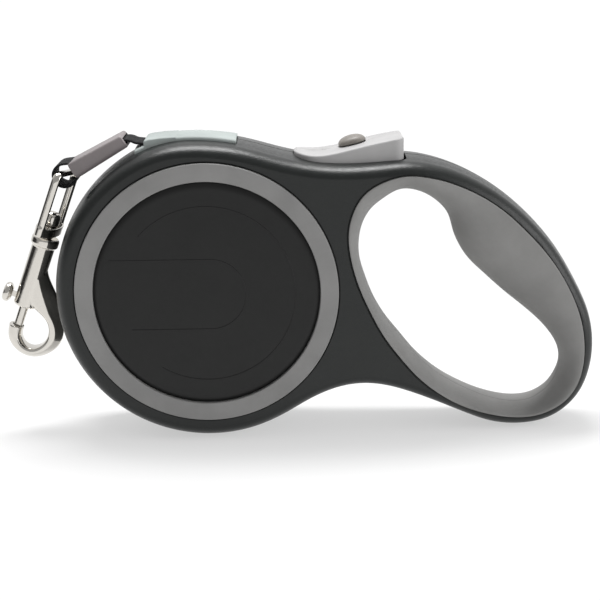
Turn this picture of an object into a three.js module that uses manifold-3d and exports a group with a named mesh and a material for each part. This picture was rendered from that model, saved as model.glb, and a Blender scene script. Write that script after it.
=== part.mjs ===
// Retractable tape leash, standing upright on the rim of its drum and the end of its handle.
// Millimetres, +Z up, +X from the hook to the handle, Y across the thickness.
// Shapes are drawn in the drum's frame, whose origin is the middle of the drum.
import * as THREE from "three";
import { mergeVertices } from "three/addons/utils/BufferGeometryUtils.js";
import Module from "manifold-3d";

const wasm = await Module();
wasm.setup();

// ---- Driving dimensions ------------------------------------------------------------------
const GAP = 0.3; // between touching pieces
const LOOSE = 2; // how far a cutter overshoots what it cuts
const DRUM_R = 53;
const FACE_Y = 18; // half the drum's thickness
const EDGE_R = 4.5; // how far the rounded edge eats into the outline
const EDGE_Y = 7; // how far it reaches across the thickness
const WALL = 2.5;
const INNER_Y = FACE_Y - WALL;
const HANDLE_THIN = 0.38; // share of the thickness that the handle loses at its far end
const THIN_FROM = 46;
const THIN_TO = 130;
const CAVITY_END_X = 58; // the hollow of the shells ends here, in the neck
const ORIGIN_X = -31.3; // the drum's middle, seen from the middle of the whole leash
const ORIGIN_Z = DRUM_R;

const RING_R = 45.1;
const DISC_R = 38.6;
const RECESS_Y = 16.7;
const TRIM_Y = 19; // outer face of the trim ring
const DISC_Y = 18.5;

const LINER_LIP = 0.12; // flat lip of the grip liner, as a share of its width
const LINER_WALL = 1.8; // shell wall left around the liner

const AXLE_R = 4;
const AXLE_BOSS_R = 7.9;
const HUB_R = 17;
const FLANGE_R = 43;
const TOOTH_ROOT_R = 40.8;
const TEETH = 18;
const TAPE_W = 13;
const TAPE_T = 0.8;
const WOUND_R = 39.5; // 5 m of tape on the hub
const RATCHET_Y = [-10.4, -7]; // the toothed flange
const TOOTH = { start: 12.5, crown: 6.5, flank: 1.5, root: 0.5 }; // degrees within each pitch
const HUB_Y = [-7.2, 6.7];
const HUB_POCKET = { innerR: 7, from: -4 };
const CUP_R = 38;
const CUP_WALL = 2;
const CUP_Y = { back: 7, floor: 8.5, rim: 13.6 };
const COVER_Y = [13.9, 14.7];
const COVER_BORE_R = 8.2;
const AXLE_REACH = 15.2;
const SPIRAL = { turns: 7, start: 0.4, innerR: 7, outerR: 34.5, y: 11.1, halfW: 2.1, halfT: 0.2 };

const TAPE_SLOPE = THREE.MathUtils.degToRad(6.5); // the tape climbs to the outlet
const OUTLET = [-22.8, 50.4]; // middle of the tape at the outlet
const OUTLET_ROOM = 6; // open height above the tape in the shells
const TAPE_START_X = 12.5; // inner end of the sliding stretch
const LOOP_TIP = 8; // where the two layers meet, from the eye
const LOOP_OPEN = 62; // half of the loop's open angle, in degrees
const ROLLER_R = 2.2;
const ROLLER_HALF_W = 6.6;
const ROLLER_X = 13;
const ROLLER_PIN_R = 1;

const STRIP_FRONT_X = -23.5;
const STRIP_MOUTH_X = -20.4;
const HOOD = [[-9, 50], [-9, 52.75], [-14.7, 52.45], [-18.7, 51.95], [-20.4, 51.45], [-20.4, 49]];
const STRIP_REAR_X = 11;
const STRIP_Y = 8.5;
const STRIP_PROUD = 0.8;
const STRIP_DEEP = 1.9;

const BUTTON_Y = 10;
const BUTTON_FRONT_X = 30.5;
const BUTTON_REAR_X = 68;
const PIVOT = [34, 38.6]; // the button's hinge
const PIN_R = 1.2;
const KNUCKLE_R = 2.2;
const WINDOW_FLOOR = 40.7;
const WINDOW_GAP = 0.4;
const WINDOW_REAR_GAP = 1.3; // room for the rear to swing past
const PIN_REACH = 12.3; // half length of the button's pin
const ROLLER_PIN_REACH = 10.3;
const PLAN_NOSE = 9; // length of the button's rounded front
const PLAN_CORNER = 3; // and its rounded rear corners
const SPRING_X = 55;
const SPRING_SEAT_Z = 38.3;
const SPRING_SEAT = { half: 3, bottom: 34 };
const BUTTON_SPRING = { wireR: 0.35, coilR: 1.9, height: 3.1, turns: 3 };
const PAWL_Y = [-10.2, -7.2];
const PAWL_SIDE = [[32.5, 37.6], [40.2, 24.4], [38.85, 19.55], [41, 18.1], [44.2, 23.4], [36, 38]];
const WEB = { halfX: 1.6, halfY: 5, top: 42 }; // joins the knuckle to the button
const STEM_SLOT = { from: 47.4, to: 55.3, halfW: 2.3 };
const KNOB = { base: [50.7, 48.75], half: 4.8, height: 3.4, shoulder: 3.3, halfW: 4.6 };
const KNOB_STEM = { to: 2.6, halfW: 2, top: 0.5, foot: -5.4, bottom: -6.6, heel: -0.9 };

const SLEEVE_SIDE = [[-46.8, 43.7], [-43.8, 38.5], [-25.6, 49.4], [-28.2, 53.2]];
const SLEEVE_W = 16;

const EYE = [-48, 39.6]; // middle of the eye's top bar
const HOOK_TILT = THREE.MathUtils.degToRad(20.5);
const EYE_TWIST = THREE.MathUtils.degToRad(-14);
const EYE_BAND = [0.95, 1.5]; // half thickness and half width of the eye's strap
const EYE_HALF_W = 8.6;
const LOOP_R = 3.6; // inside radius of the tape loop on the eye
const EYE_CORNER = 1.8;
const EYE_FOOT = { z: -20, bottom: -22.9, depth: 3.4, halfX: 3.4, spare: 1.3 };
const STUD_R = 1.9;
const STUD_HEAD = { r: 2.8, rimR: 2.1, bottom: -19.2, edge: -16, shoulder: -14.8, top: -14.4 };
const STUD_BOTTOM = -29;
const BARREL_R = 4.1;
const BARREL_Z = [-50.2, -27.2];
const COLLAR = { r: 4.9, low: -27, high: -24.5, topR: 4.3, top: -23.8 };
const BORE_R = 2;
const BORE_Z = [-52, -30.8];
const BOLT_SEAT_Z = [-60, -57];
const HOOK_SLOT = { halfW: 1.25, z: [-49.3, -36.6] };
const ROD_R = 1.6;
const ROD_Z = [-59.6, -41];
const ROD_STEM = { reach: -5.3, halfW: 0.9, z: [-48.2, -46.6] };
const THUMB = { x: -5.6, z: -47.4, profile: [[0, 0], [2.2, 0], [3.4, 1.1], [3.2, 2.3], [0, 2.9]] };
const PLUNGER_SPRING = { wireR: 0.22, coilR: 1.5, height: 9, turns: 6, z: -40.4 };
const HOOK_HALF_T = 3.75;

// ---- Outlines as [x, z] control points -----------------------------------------------------
const circlePoint = (r, degrees, cx = 0, cz = 0) => {
  const a = THREE.MathUtils.degToRad(degrees);
  return [cx + r * Math.cos(a), cz + r * Math.sin(a)];
};

const DRUM_ARC = { from: 108, to: 300, step: 12 };
const HANDLE_OUTLINE = [
  [31.5, -42.8], [38.4, -39], [45.5, -36.3], [52.5, -35.2], [59.6, -35.8], [66.7, -37.8],
  [77.4, -42.1], [88.3, -47.1], [98, -51.2], [106, -52.7], [113.5, -52.6], [121, -50.9],
  [128, -46.1], [132.6, -40], [135.3, -31.5], [136, -23], [134.4, -12.5], [129, -0.7],
  [121.5, 11.8], [114, 20.8], [106.7, 27.8], [99.5, 33.3], [92.3, 37.6], [85, 41],
  [77, 43.4], [69, 44.6], [59, 44], [50, 43.6], [41, 43.9], [34, 44.8], [27, 46.3],
  [20, 48.3], [13, 50.2], [6, 51.4], [-2, 52], [-10, 51.8],
];

// Each station of the grip liner: [outer x, outer z, crest x, crest z], once round the opening.
const LINER_STATIONS = [
  [68, 39.3, 67, 33], [60.5, 37.5, 60.4, 29.2], [54.4, 33.9, 56.9, 26.2], [50.7, 28.6, 54.2, 21.6],
  [48.6, 21, 52.9, 16], [49.1, 12.5, 53, 9], [51.8, 2.2, 55.4, 0.5], [55.9, -7.4, 58.9, -8.3],
  [60.6, -16.3, 63.3, -15.7], [66.9, -25, 68.7, -22.3], [73.2, -32.3, 74.4, -29.2],
  [81.2, -38.9, 82, -35.8], [89.2, -43.5, 89.8, -40.4], [98.9, -47, 99, -44.4],
  [108.7, -48.6, 108, -46.4], [116.7, -47.9, 115, -45.6], [124.6, -44, 120.6, -41.8],
  [129.2, -38.3, 123.6, -37.2], [131.4, -30.9, 125.2, -32.5], [131.7, -23.5, 124.7, -27.3],
  [130.6, -15.3, 122.4, -22.4], [127.6, -6.4, 117.8, -16.6], [122.9, 2.6, 111.6, -10.9],
  [117.2, 10.7, 104.3, -4.9], [109.9, 18.7, 97.4, 1.4], [102, 26, 90.8, 8], [93.3, 31.8, 86.6, 15.4],
  [83.3, 36.4, 83.8, 24], [75.6, 38.5, 75.8, 31],
];

const SCREWS = {
  screw_front: circlePoint(47.7, 143),
  screw_lower_front: circlePoint(47.7, 222),
  screw_lower_rear: circlePoint(47.7, 292),
  screw_neck: [54, -28],
};
const SCREW_R = 1.2;
const SCREW_HEAD_R = 2.3;
const SCREW_Y = { tip: -11, seat: FACE_Y - 3.2, top: FACE_Y - 1.4 };
const SCREW_SLOT = { half: 2, halfW: 0.4, bottom: FACE_Y - 2 };
const BOSS_R = 2.6;

// The tape's middle line on its straight way out, and the roller that it runs over.
const tapeZ = (x) => OUTLET[1] - (x - OUTLET[0]) * Math.tan(TAPE_SLOPE);
const rollerReach = ROLLER_R + TAPE_T / 2 + GAP / 2;
const rollerCentre = [
  ROLLER_X,
  tapeZ(ROLLER_X + rollerReach * Math.sin(TAPE_SLOPE)) - rollerReach * Math.cos(TAPE_SLOPE),
];

// The bend between the outlet and the sleeve, as the corners of a quadratic curve.
const TAPE_BEND = [[-23.6, tapeZ(-23.6)], [-26.3, 52.4], [-29.6, 50.5]];

// ---- Solids and geometry -------------------------------------------------------------------
const SKIN = 400; // half size of the blocks that halve and trim solids
const ROUND_SIDES = 48; // sides of the large round pieces
const PIN_SIDES = 14;
const BOSS_SIDES = 28;
const HUB_SIDES = 32;

function toSolid(geometry) {
  const plain = geometry.clone();
  plain.deleteAttribute("normal");
  plain.deleteAttribute("uv");
  const merged = mergeVertices(plain, 1e-4);
  return new wasm.Manifold(
    new wasm.Mesh({
      numProp: 3,
      vertProperties: merged.attributes.position.array,
      triVerts: new Uint32Array(merged.index.array),
    }),
  );
}

function toGeometry(solid) {
  const mesh = solid.getMesh();
  const geometry = new THREE.BufferGeometry();
  geometry.setAttribute("position", new THREE.BufferAttribute(mesh.vertProperties, 3));
  geometry.setIndex(new THREE.BufferAttribute(mesh.triVerts, 1));
  geometry.computeVertexNormals();
  return geometry;
}

const join = (...solids) => solids.reduce((a, b) => a.add(b));
const cut = (solid, ...tools) => tools.reduce((a, b) => a.subtract(b), solid);

function shapeOf(points, hole) {
  const shape = new THREE.Shape(points.map(([x, z]) => new THREE.Vector2(x, z)));
  if (hole) shape.holes.push(new THREE.Path(hole.map(([x, z]) => new THREE.Vector2(x, z))));
  return shape;
}

// A shape drawn in X and Z, extruded across Y, with its edges rounded if edge is given.
function slab(shape, y0, y1, edge) {
  const { size, reach, segments } = edge ?? { size: 0, reach: 0, segments: 0 };
  const geometry = new THREE.ExtrudeGeometry(shape, {
    depth: y1 - y0 - 2 * reach,
    bevelEnabled: Boolean(edge),
    bevelSize: size,
    bevelOffset: -size,
    bevelThickness: reach,
    bevelSegments: segments,
  });
  return toSolid(geometry.rotateX(Math.PI / 2).translate(0, y1 - reach, 0));
}

// A shape drawn in X and Y, extruded up Z.
function column(shape, z0, z1) {
  const geometry = new THREE.ExtrudeGeometry(shape, { depth: z1 - z0, bevelEnabled: false });
  return toSolid(geometry.translate(0, 0, z0));
}

function block([x0, x1], [y0, y1], [z0, z1]) {
  const geometry = new THREE.BoxGeometry(x1 - x0, y1 - y0, z1 - z0);
  return toSolid(geometry.translate((x0 + x1) / 2, (y0 + y1) / 2, (z0 + z1) / 2));
}

// A closed [radius, y] profile turned about the Y axis through [x, z].
function turned(profile, [x, z] = [0, 0], sides = 48) {
  const points = [...profile, profile[0]].map(([r, y]) => new THREE.Vector2(r, y));
  return toSolid(new THREE.LatheGeometry(points, sides).translate(x, 0, z));
}

const tube = (r0, r1, y0, y1, centre, sides) =>
  turned([[r0, y0], [r1, y0], [r1, y1], [r0, y1]], centre, sides);

function rod(r, y0, y1, [x, z] = [0, 0], sides = PIN_SIDES) {
  const geometry = new THREE.CylinderGeometry(r, r, y1 - y0, sides);
  return toSolid(geometry.translate(x, (y0 + y1) / 2, z));
}

// A closed outline through control points, evenly spaced along its length.
function closedCurve(points, count) {
  const curve = new THREE.CatmullRomCurve3(
    points.map(([x, z]) => new THREE.Vector3(x, z, 0)),
    true,
    "centripetal",
  );
  const samples = Array.from({ length: count }, (_, i) => curve.getPoint(i / count));
  return samples.map(({ x, y }) => [x, y]);
}

// Moves each point of a closed outline outwards (or inwards, if d is negative) along its normal.
function offsetOutline(points, d) {
  const area = THREE.ShapeUtils.area(points.map(([x, y]) => ({ x, y })));
  const side = Math.sign(area) * d;
  return points.map(([x, z], i) => {
    const before = points[(i + points.length - 1) % points.length];
    const after = points[(i + 1) % points.length];
    const tangent = new THREE.Vector2(after[0] - before[0], after[1] - before[1]).normalize();
    return [x + tangent.y * side, z - tangent.x * side];
  });
}

// The drum keeps its full thickness and the handle thins towards its far end.
function thinned(solid) {
  const geometry = toGeometry(solid);
  const p = geometry.attributes.position;
  for (let i = 0; i < p.count; i += 1) {
    const share = HANDLE_THIN * THREE.MathUtils.smoothstep(p.getX(i), THIN_FROM, THIN_TO);
    p.setY(i, p.getY(i) * (1 - share));
  }
  return toSolid(geometry);
}

// Rings of [x, y, z] points, joined each to the next and the last to the first.
function loft(rings) {
  const n = rings[0].length;
  const geometry = new THREE.BufferGeometry();
  geometry.setAttribute("position", new THREE.Float32BufferAttribute(rings.flat(2), 3));
  const index = [];
  rings.forEach((_, k) => {
    const a = k * n;
    const b = ((k + 1) % rings.length) * n;
    for (let i = 0; i < n; i += 1) {
      const j = (i + 1) % n;
      index.push(a + i, b + i, b + j, a + i, b + j, a + j);
    }
  });
  return toSolid(geometry.setIndex(index));
}

// ---- Materials and the scene graph ---------------------------------------------------------
const material = (color, roughness, metalness = 0) =>
  new THREE.MeshStandardMaterial({ color, roughness, metalness });

const BLACK_SHELL = material(0x2b2d2c, 0.42);
const BLACK_DISC = material(0x262827, 0.35);
const GREY_TRIM = material(0x868684, 0.5);
const GREY_RUBBER = material(0x7d7c7a, 0.75);
const PALE_GREY = material(0xb4b8b7, 0.5);
const BUTTON_GREY = material(0xa4a3a3, 0.5);
const KNOB_GREY = material(0x7c7770, 0.5);
const SLEEVE_GREY = material(0x7f7a7a, 0.8);
const TAPE_BLACK = material(0x1b1b1c, 0.9);
const CHROME = material(0xd6d4ce, 0.15, 1);
const STEEL = material(0x9a9ca0, 0.35, 1);
const WHITE_NYLON = material(0xd8d6cf, 0.55);

const leash = new THREE.Group();
leash.position.set(ORIGIN_X, 0, ORIGIN_Z);

const hookGroup = new THREE.Group();
hookGroup.position.set(EYE[0], 0, EYE[1]);
hookGroup.rotation.y = HOOK_TILT;
leash.add(hookGroup);

function piece(name, solid, look, parent = leash) {
  const mesh = new THREE.Mesh(toGeometry(solid), look);
  mesh.name = name;
  parent.add(mesh);
}

// ---- Housing -------------------------------------------------------------------------------
const drumArc = [];
for (let a = DRUM_ARC.from; a <= DRUM_ARC.to; a += DRUM_ARC.step) {
  drumArc.push(circlePoint(DRUM_R, a));
}
const housingOutline = closedCurve([...drumArc, ...HANDLE_OUTLINE], 88);
const linerOuter = closedCurve(LINER_STATIONS.map(([x, z]) => [x, z]), 48);
const linerCrest = closedCurve(LINER_STATIONS.map(([, , x, z]) => [x, z]), 48);

const grown = (d) => shapeOf(offsetOutline(housingOutline, d));
const linerGrown = (d) => shapeOf(offsetOutline(linerOuter, d));
const housingEdge = { size: EDGE_R, reach: EDGE_Y, segments: 2 };

// The corridor that the tape slides in: room below and above its middle line.
function tapeCorridor(x0, x1, below, above) {
  const [z0, z1] = [tapeZ(x0), tapeZ(x1)];
  const points = [[x0, z0 - below], [x1, z1 - below], [x1, z1 + above], [x0, z0 + above]];
  return slab(shapeOf(points), -TAPE_W / 2 - GAP, TAPE_W / 2 + GAP);
}

function buttonPlan(halfW, x0, x1) {
  const [nose, corner] = [PLAN_NOSE, PLAN_CORNER];
  const shape = new THREE.Shape();
  shape.moveTo(x1 - corner, -halfW);
  shape.quadraticCurveTo(x1, -halfW, x1, corner - halfW);
  shape.lineTo(x1, halfW - corner);
  shape.quadraticCurveTo(x1, halfW, x1 - corner, halfW);
  shape.lineTo(x0 + nose, halfW);
  shape.quadraticCurveTo(x0, halfW, x0, 0);
  shape.quadraticCurveTo(x0, -halfW, x0 + nose, -halfW);
  return shape;
}

function hollow() {
  const hull = slab(grown(-WALL), -INNER_Y, INNER_Y, { ...housingEdge, segments: 1 });
  const trimmed = hull.subtract(block([CAVITY_END_X, SKIN], [-SKIN, SKIN], [-SKIN, SKIN]));
  return trimmed.subtract(slab(linerGrown(LINER_WALL), -SKIN, SKIN));
}

function shellCutters() {
  const notch = slab(grown(LOOSE), -STRIP_Y - GAP, STRIP_Y + GAP)
    .subtract(slab(grown(-WALL - GAP), -SKIN, SKIN))
    .intersect(block([STRIP_FRONT_X - GAP, STRIP_REAR_X + GAP], [-SKIN, SKIN], [0, SKIN]));
  return [
    hollow(),
    rod(RING_R + GAP, RECESS_Y, SKIN, [0, 0], ROUND_SIDES),
    rod(RING_R + GAP, -SKIN, -RECESS_Y, [0, 0], ROUND_SIDES),
    notch,
    tapeCorridor(-DRUM_R, 0, TAPE_T, OUTLET_ROOM),
  ];
}

// Posts moulded inside the shells for the screws, the axle and the two pins, and a spring seat.
function bosses() {
  const reach = INNER_Y + 0.5;
  const ends = (r, from, at, sides) => [rod(r, -reach, -from, at, sides), rod(r, from, reach, at, sides)];
  const { half, bottom } = SPRING_SEAT;
  const posts = [
    ...Object.values(SCREWS).map((at) => rod(BOSS_R, -reach, reach, at)),
    ...ends(KNUCKLE_R, BUTTON_Y + 0.8, PIVOT),
    ...ends(ROLLER_PIN_R + 0.7, ROLLER_HALF_W + LOOSE + GAP, rollerCentre),
    rod(AXLE_BOSS_R, -reach, RATCHET_Y[0] - 0.4, [0, 0], BOSS_SIDES),
    rod(AXLE_BOSS_R, 14, reach, [0, 0], BOSS_SIDES),
    block([SPRING_X - half, SPRING_X + half], [-half, half], [bottom, SPRING_SEAT_Z]),
  ];
  return join(...posts).intersect(slab(grown(-1), -FACE_Y + 1, FACE_Y - 1));
}

function bossBores() {
  const bores = Object.values(SCREWS).flatMap((at) => [
    rod(SCREW_R + GAP, SCREW_Y.tip - 1, SKIN, at),
    rod(SCREW_HEAD_R + GAP, SCREW_Y.seat - GAP, SKIN, at),
  ]);
  return [
    ...bores,
    slab(linerGrown(GAP), -SKIN, SKIN),
    rod(AXLE_R + GAP, -INNER_Y, INNER_Y, [0, 0], HUB_SIDES),
    rod(PIN_R + GAP, -PIN_REACH - GAP, PIN_REACH + GAP, PIVOT),
    rod(ROLLER_PIN_R + GAP, -ROLLER_PIN_REACH - GAP, ROLLER_PIN_REACH + GAP, rollerCentre),
  ];
}

function housing() {
  const skin = slab(grown(0), -FACE_Y, FACE_Y, housingEdge);
  const whole = cut(join(cut(skin, ...shellCutters()), bosses()), ...bossBores());
  const half = GAP / 2;
  const near = whole.subtract(block([-SKIN, SKIN], [-half, SKIN], [-SKIN, SKIN]));
  const far = whole.subtract(block([-SKIN, SKIN], [-SKIN, half], [-SKIN, SKIN]));
  const window = column(
    buttonPlan(BUTTON_Y + WINDOW_GAP, BUTTON_FRONT_X - WINDOW_GAP, BUTTON_REAR_X + WINDOW_REAR_GAP),
    WINDOW_FLOOR,
    SKIN,
  );
  piece("shell_near", thinned(near).subtract(window), BLACK_SHELL);
  piece("shell_far", thinned(far).subtract(window), BLACK_SHELL);
}

function gripLiner(name, side) {
  const mix = (share, y) =>
    linerOuter.map(([x, z], i) => [
      THREE.MathUtils.lerp(x, linerCrest[i][0], share),
      y,
      THREE.MathUtils.lerp(z, linerCrest[i][1], share),
    ]);
  const middle = (GAP / 2) * side;
  const rings = [mix(0, middle), mix(0, FACE_Y * side)];
  const steps = 4;
  for (let k = 0; k <= steps; k += 1) {
    const a = (k / steps) * (Math.PI / 2);
    const y = FACE_Y * side * Math.cos(a);
    rings.push(mix(LINER_LIP + (1 - LINER_LIP) * Math.sin(a), k === steps ? middle : y));
  }
  piece(name, thinned(loft(side < 0 ? rings.reverse() : rings)), GREY_RUBBER);
}

function trim(suffix, side) {
  const chamfer = 0.5;
  const ring = [
    [DISC_R + GAP, RECESS_Y + GAP], [RING_R, RECESS_Y + GAP], [RING_R, TRIM_Y - chamfer],
    [RING_R - chamfer, TRIM_Y], [DISC_R + GAP + chamfer, TRIM_Y], [DISC_R + GAP, TRIM_Y - chamfer],
  ];
  const disc = [
    [0, RECESS_Y + GAP], [DISC_R, RECESS_Y + GAP], [DISC_R, DISC_Y - 1], [DISC_R - 1.5, DISC_Y - 0.3],
    [DISC_R / 2, DISC_Y - 0.1], [0, DISC_Y],
  ];
  const facing = (profile) => {
    const placed = profile.map(([r, y]) => [r, y * side]);
    return turned(side > 0 ? placed : placed.reverse(), [0, 0], ROUND_SIDES);
  };
  piece("trim_ring_" + suffix, facing(ring), GREY_TRIM);
  piece("side_disc_" + suffix, facing(disc), BLACK_DISC);
}

function screws() {
  const { tip, seat, top } = SCREW_Y;
  const { half, halfW, bottom } = SCREW_SLOT;
  for (const [name, at] of Object.entries(SCREWS)) {
    const body = rod(SCREW_R, tip, seat + GAP, at).add(rod(SCREW_HEAD_R, seat, top, at));
    const slot = block([at[0] - half, at[0] + half], [bottom, FACE_Y], [at[1] - halfW, at[1] + halfW]);
    piece(name, body.subtract(slot), STEEL);
  }
}

function outletStrip() {
  const skin = slab(grown(STRIP_PROUD), -STRIP_Y, STRIP_Y)
    .subtract(slab(grown(-STRIP_DEEP), -SKIN, SKIN))
    .intersect(block([STRIP_FRONT_X, STRIP_REAR_X], [-SKIN, SKIN], [0, SKIN]))
    .add(slab(shapeOf(HOOD), -STRIP_Y, STRIP_Y));
  const room = TAPE_T / 2 + GAP;
  const under = tapeCorridor(STRIP_MOUTH_X, STRIP_REAR_X + LOOSE, 2 * STRIP_DEEP, room);
  const mouth = tapeCorridor(STRIP_FRONT_X - LOOSE, STRIP_MOUTH_X, room, OUTLET_ROOM);
  piece("outlet_strip", cut(skin, under, mouth), PALE_GREY);
}

// ---- Spool, spring and tape ----------------------------------------------------------------
function ratchetOutline() {
  const pitch = 360 / TEETH;
  const { start, crown, flank, root } = TOOTH;
  const points = [];
  for (let k = 0; k < TEETH; k += 1) {
    const a = k * pitch + start;
    points.push(circlePoint(FLANGE_R, a), circlePoint(FLANGE_R, a + crown));
    points.push(circlePoint(TOOTH_ROOT_R, a + crown + flank), circlePoint(TOOTH_ROOT_R, a + pitch - root));
  }
  return points;
}

function spool() {
  const wheel = slab(shapeOf(ratchetOutline()), ...RATCHET_Y);
  const hub = rod(HUB_R, ...HUB_Y, [0, 0], ROUND_SIDES);
  const bore = rod(AXLE_R + GAP, -SKIN, SKIN, [0, 0], HUB_SIDES);
  const pocket = tube(HUB_POCKET.innerR, HUB_R - LOOSE, HUB_POCKET.from, HUB_Y[1] + LOOSE, [0, 0], HUB_SIDES);
  piece("spool", cut(join(wheel, hub), bore, pocket), WHITE_NYLON);

  const { back, floor, rim } = CUP_Y;
  const cup = turned(
    [[AXLE_R + GAP, back], [FLANGE_R, back], [FLANGE_R, floor], [CUP_R, floor], [CUP_R, rim],
      [CUP_R - CUP_WALL, rim], [CUP_R - CUP_WALL, floor], [AXLE_R + GAP, floor]],
    [0, 0],
    ROUND_SIDES,
  );
  piece("spring_cup", cup, WHITE_NYLON);
  piece("spring_cover", tube(COVER_BORE_R, CUP_R, ...COVER_Y, [0, 0], ROUND_SIDES), WHITE_NYLON);
  piece("wound_tape", tube(HUB_R + GAP, WOUND_R, -TAPE_W / 2, TAPE_W / 2, [0, 0], ROUND_SIDES), TAPE_BLACK);
  piece("axle_post", rod(AXLE_R, -AXLE_REACH, AXLE_REACH, [0, 0], HUB_SIDES), STEEL);
}

class Spiral extends THREE.Curve {
  getPoint(t, target = new THREE.Vector3()) {
    const angle = SPIRAL.start + t * SPIRAL.turns * 2 * Math.PI;
    const radius = THREE.MathUtils.lerp(SPIRAL.innerR, SPIRAL.outerR, t);
    return target.set(radius * Math.cos(angle), 0, radius * Math.sin(angle));
  }
}

class Helix extends THREE.Curve {
  constructor(radius, height, turns) {
    super();
    Object.assign(this, { radius, height, turns });
  }

  getPoint(t, target = new THREE.Vector3()) {
    const angle = t * this.turns * 2 * Math.PI;
    return target.set(this.radius * Math.cos(angle), this.radius * Math.sin(angle), t * this.height);
  }
}

function polygon(radius, sides) {
  return shapeOf(Array.from({ length: sides }, (_, i) => circlePoint(radius, (i * 360) / sides)));
}

// A flat band's section with cut corners.
function bandSection(halfT, halfW) {
  const [t, w] = [halfT * 0.5, halfW * 0.7];
  const points = [[halfW, t], [w, halfT], [-w, halfT], [-halfW, t]];
  return shapeOf([...points, ...points.map(([x, y]) => [-x, -y])]);
}

function sweep(shape, curve, steps) {
  return new THREE.ExtrudeGeometry(shape, { steps, extrudePath: curve });
}

function spiralSpring() {
  const { halfW, halfT, turns, y } = SPIRAL;
  const strip = shapeOf([[-halfW, -halfT], [halfW, -halfT], [halfW, halfT], [-halfW, halfT]]);
  const stepsPerTurn = 15;
  piece("spiral_spring", toSolid(sweep(strip, new Spiral(), turns * stepsPerTurn).translate(0, y, 0)), STEEL);
}

// A coil of round wire that climbs from the origin along Z.
function coil({ wireR, coilR, height, turns }, sides) {
  const stepsPerTurn = 9;
  return sweep(polygon(wireR, sides), new Helix(coilR, height, turns), turns * stepsPerTurn);
}

// A strip of tape whose middle line is a list of [x, z] points.
function tapeStrip(middle, thickness, halfW) {
  const normals = middle.map((_, i) => {
    const a = middle[Math.max(i - 1, 0)];
    const b = middle[Math.min(i + 1, middle.length - 1)];
    return new THREE.Vector2(a[1] - b[1], b[0] - a[0]).normalize();
  });
  const side = (d) => middle.map(([x, z], i) => [x + normals[i].x * d, z + normals[i].y * d]);
  const outline = [...side(thickness / 2), ...side(-thickness / 2).reverse()];
  return slab(shapeOf(outline), -halfW, halfW);
}

// The still stretch: off the wound tape, straight to the guide roller and over its top.
function tapeLead() {
  const woundR = WOUND_R + GAP + TAPE_T / 2;
  const [cx, cz] = rollerCentre;
  const lean = Math.acos((woundR - rollerReach) / Math.hypot(cx, cz));
  const leave = THREE.MathUtils.radToDeg(Math.atan2(cz, cx) - lean);
  const top = 90 - THREE.MathUtils.radToDeg(TAPE_SLOPE);
  const points = [circlePoint(woundR, leave)];
  const wraps = 5;
  for (let k = 0; k <= wraps; k += 1) {
    points.push(circlePoint(rollerReach, leave + ((top - leave) * k) / wraps, cx, cz));
  }
  piece("tape_lead", tapeStrip(points, TAPE_T, TAPE_W / 2), TAPE_BLACK);
  const roller = tube(ROLLER_PIN_R + GAP, ROLLER_R, -ROLLER_HALF_W, ROLLER_HALF_W, rollerCentre, 20);
  piece("guide_roller", roller, WHITE_NYLON);
  piece("roller_pin", rod(ROLLER_PIN_R, -ROLLER_PIN_REACH, ROLLER_PIN_REACH, rollerCentre), STEEL);
}

// The sleeve's direction, from the eye to the middle of its upper end.
function sleeveAxis() {
  const [, , [ax, az], [bx, bz]] = SLEEVE_SIDE;
  return new THREE.Vector2((ax + bx) / 2 - EYE[0], (az + bz) / 2 - EYE[1]).normalize();
}

// The sliding end of the tape: out of the outlet, down through the sleeve and round the eye.
function tapeEnd(thickness, halfW) {
  const [start, top, end] = TAPE_BEND.map(([x, z]) => new THREE.Vector2(x, z));
  const bend = new THREE.QuadraticBezierCurve(start, top, end);
  const along = sleeveAxis();
  const from = (d) => [EYE[0] + along.x * d, EYE[1] + along.y * d];
  const middle = [
    [TAPE_START_X, tapeZ(TAPE_START_X)],
    ...bend.getPoints(6).map(({ x, y }) => [x, y]),
    from(LOOP_TIP),
  ];
  const straight = tapeStrip(middle, thickness, halfW);

  const spare = (thickness - TAPE_T) / 2;
  const teardrop = (r, tip) => {
    const heading = THREE.MathUtils.radToDeg(along.angle());
    const points = [from(tip)];
    for (let a = LOOP_OPEN; a <= 360 - LOOP_OPEN; a += 17) points.push(circlePoint(r, heading + a, ...EYE));
    return points;
  };
  const loop = slab(shapeOf(teardrop(LOOP_R + TAPE_T + spare, LOOP_TIP + 1.5)), -halfW, halfW);
  const inside = slab(shapeOf(teardrop(LOOP_R - spare, LOOP_TIP - 1.4)), -SKIN, SKIN);
  return straight.add(loop).subtract(inside);
}

function sleeve() {
  const edge = { size: 0.7, reach: 0.7, segments: 2 };
  const body = slab(shapeOf(SLEEVE_SIDE), -SLEEVE_W / 2, SLEEVE_W / 2, edge);
  piece("tape_sleeve", body.subtract(tapeEnd(TAPE_T + 2 * GAP, TAPE_W / 2 + GAP)), SLEEVE_GREY);
}

// ---- Brake button, lock and pawl ------------------------------------------------------------
const BUTTON_TOP = [
  [30.5, 46.9], [32.5, 46.4], [36, 45.85], [40, 45.75], [45.6, 46.7], [51.8, 48.25], [59.7, 50],
  [68, 51.4],
];

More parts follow.
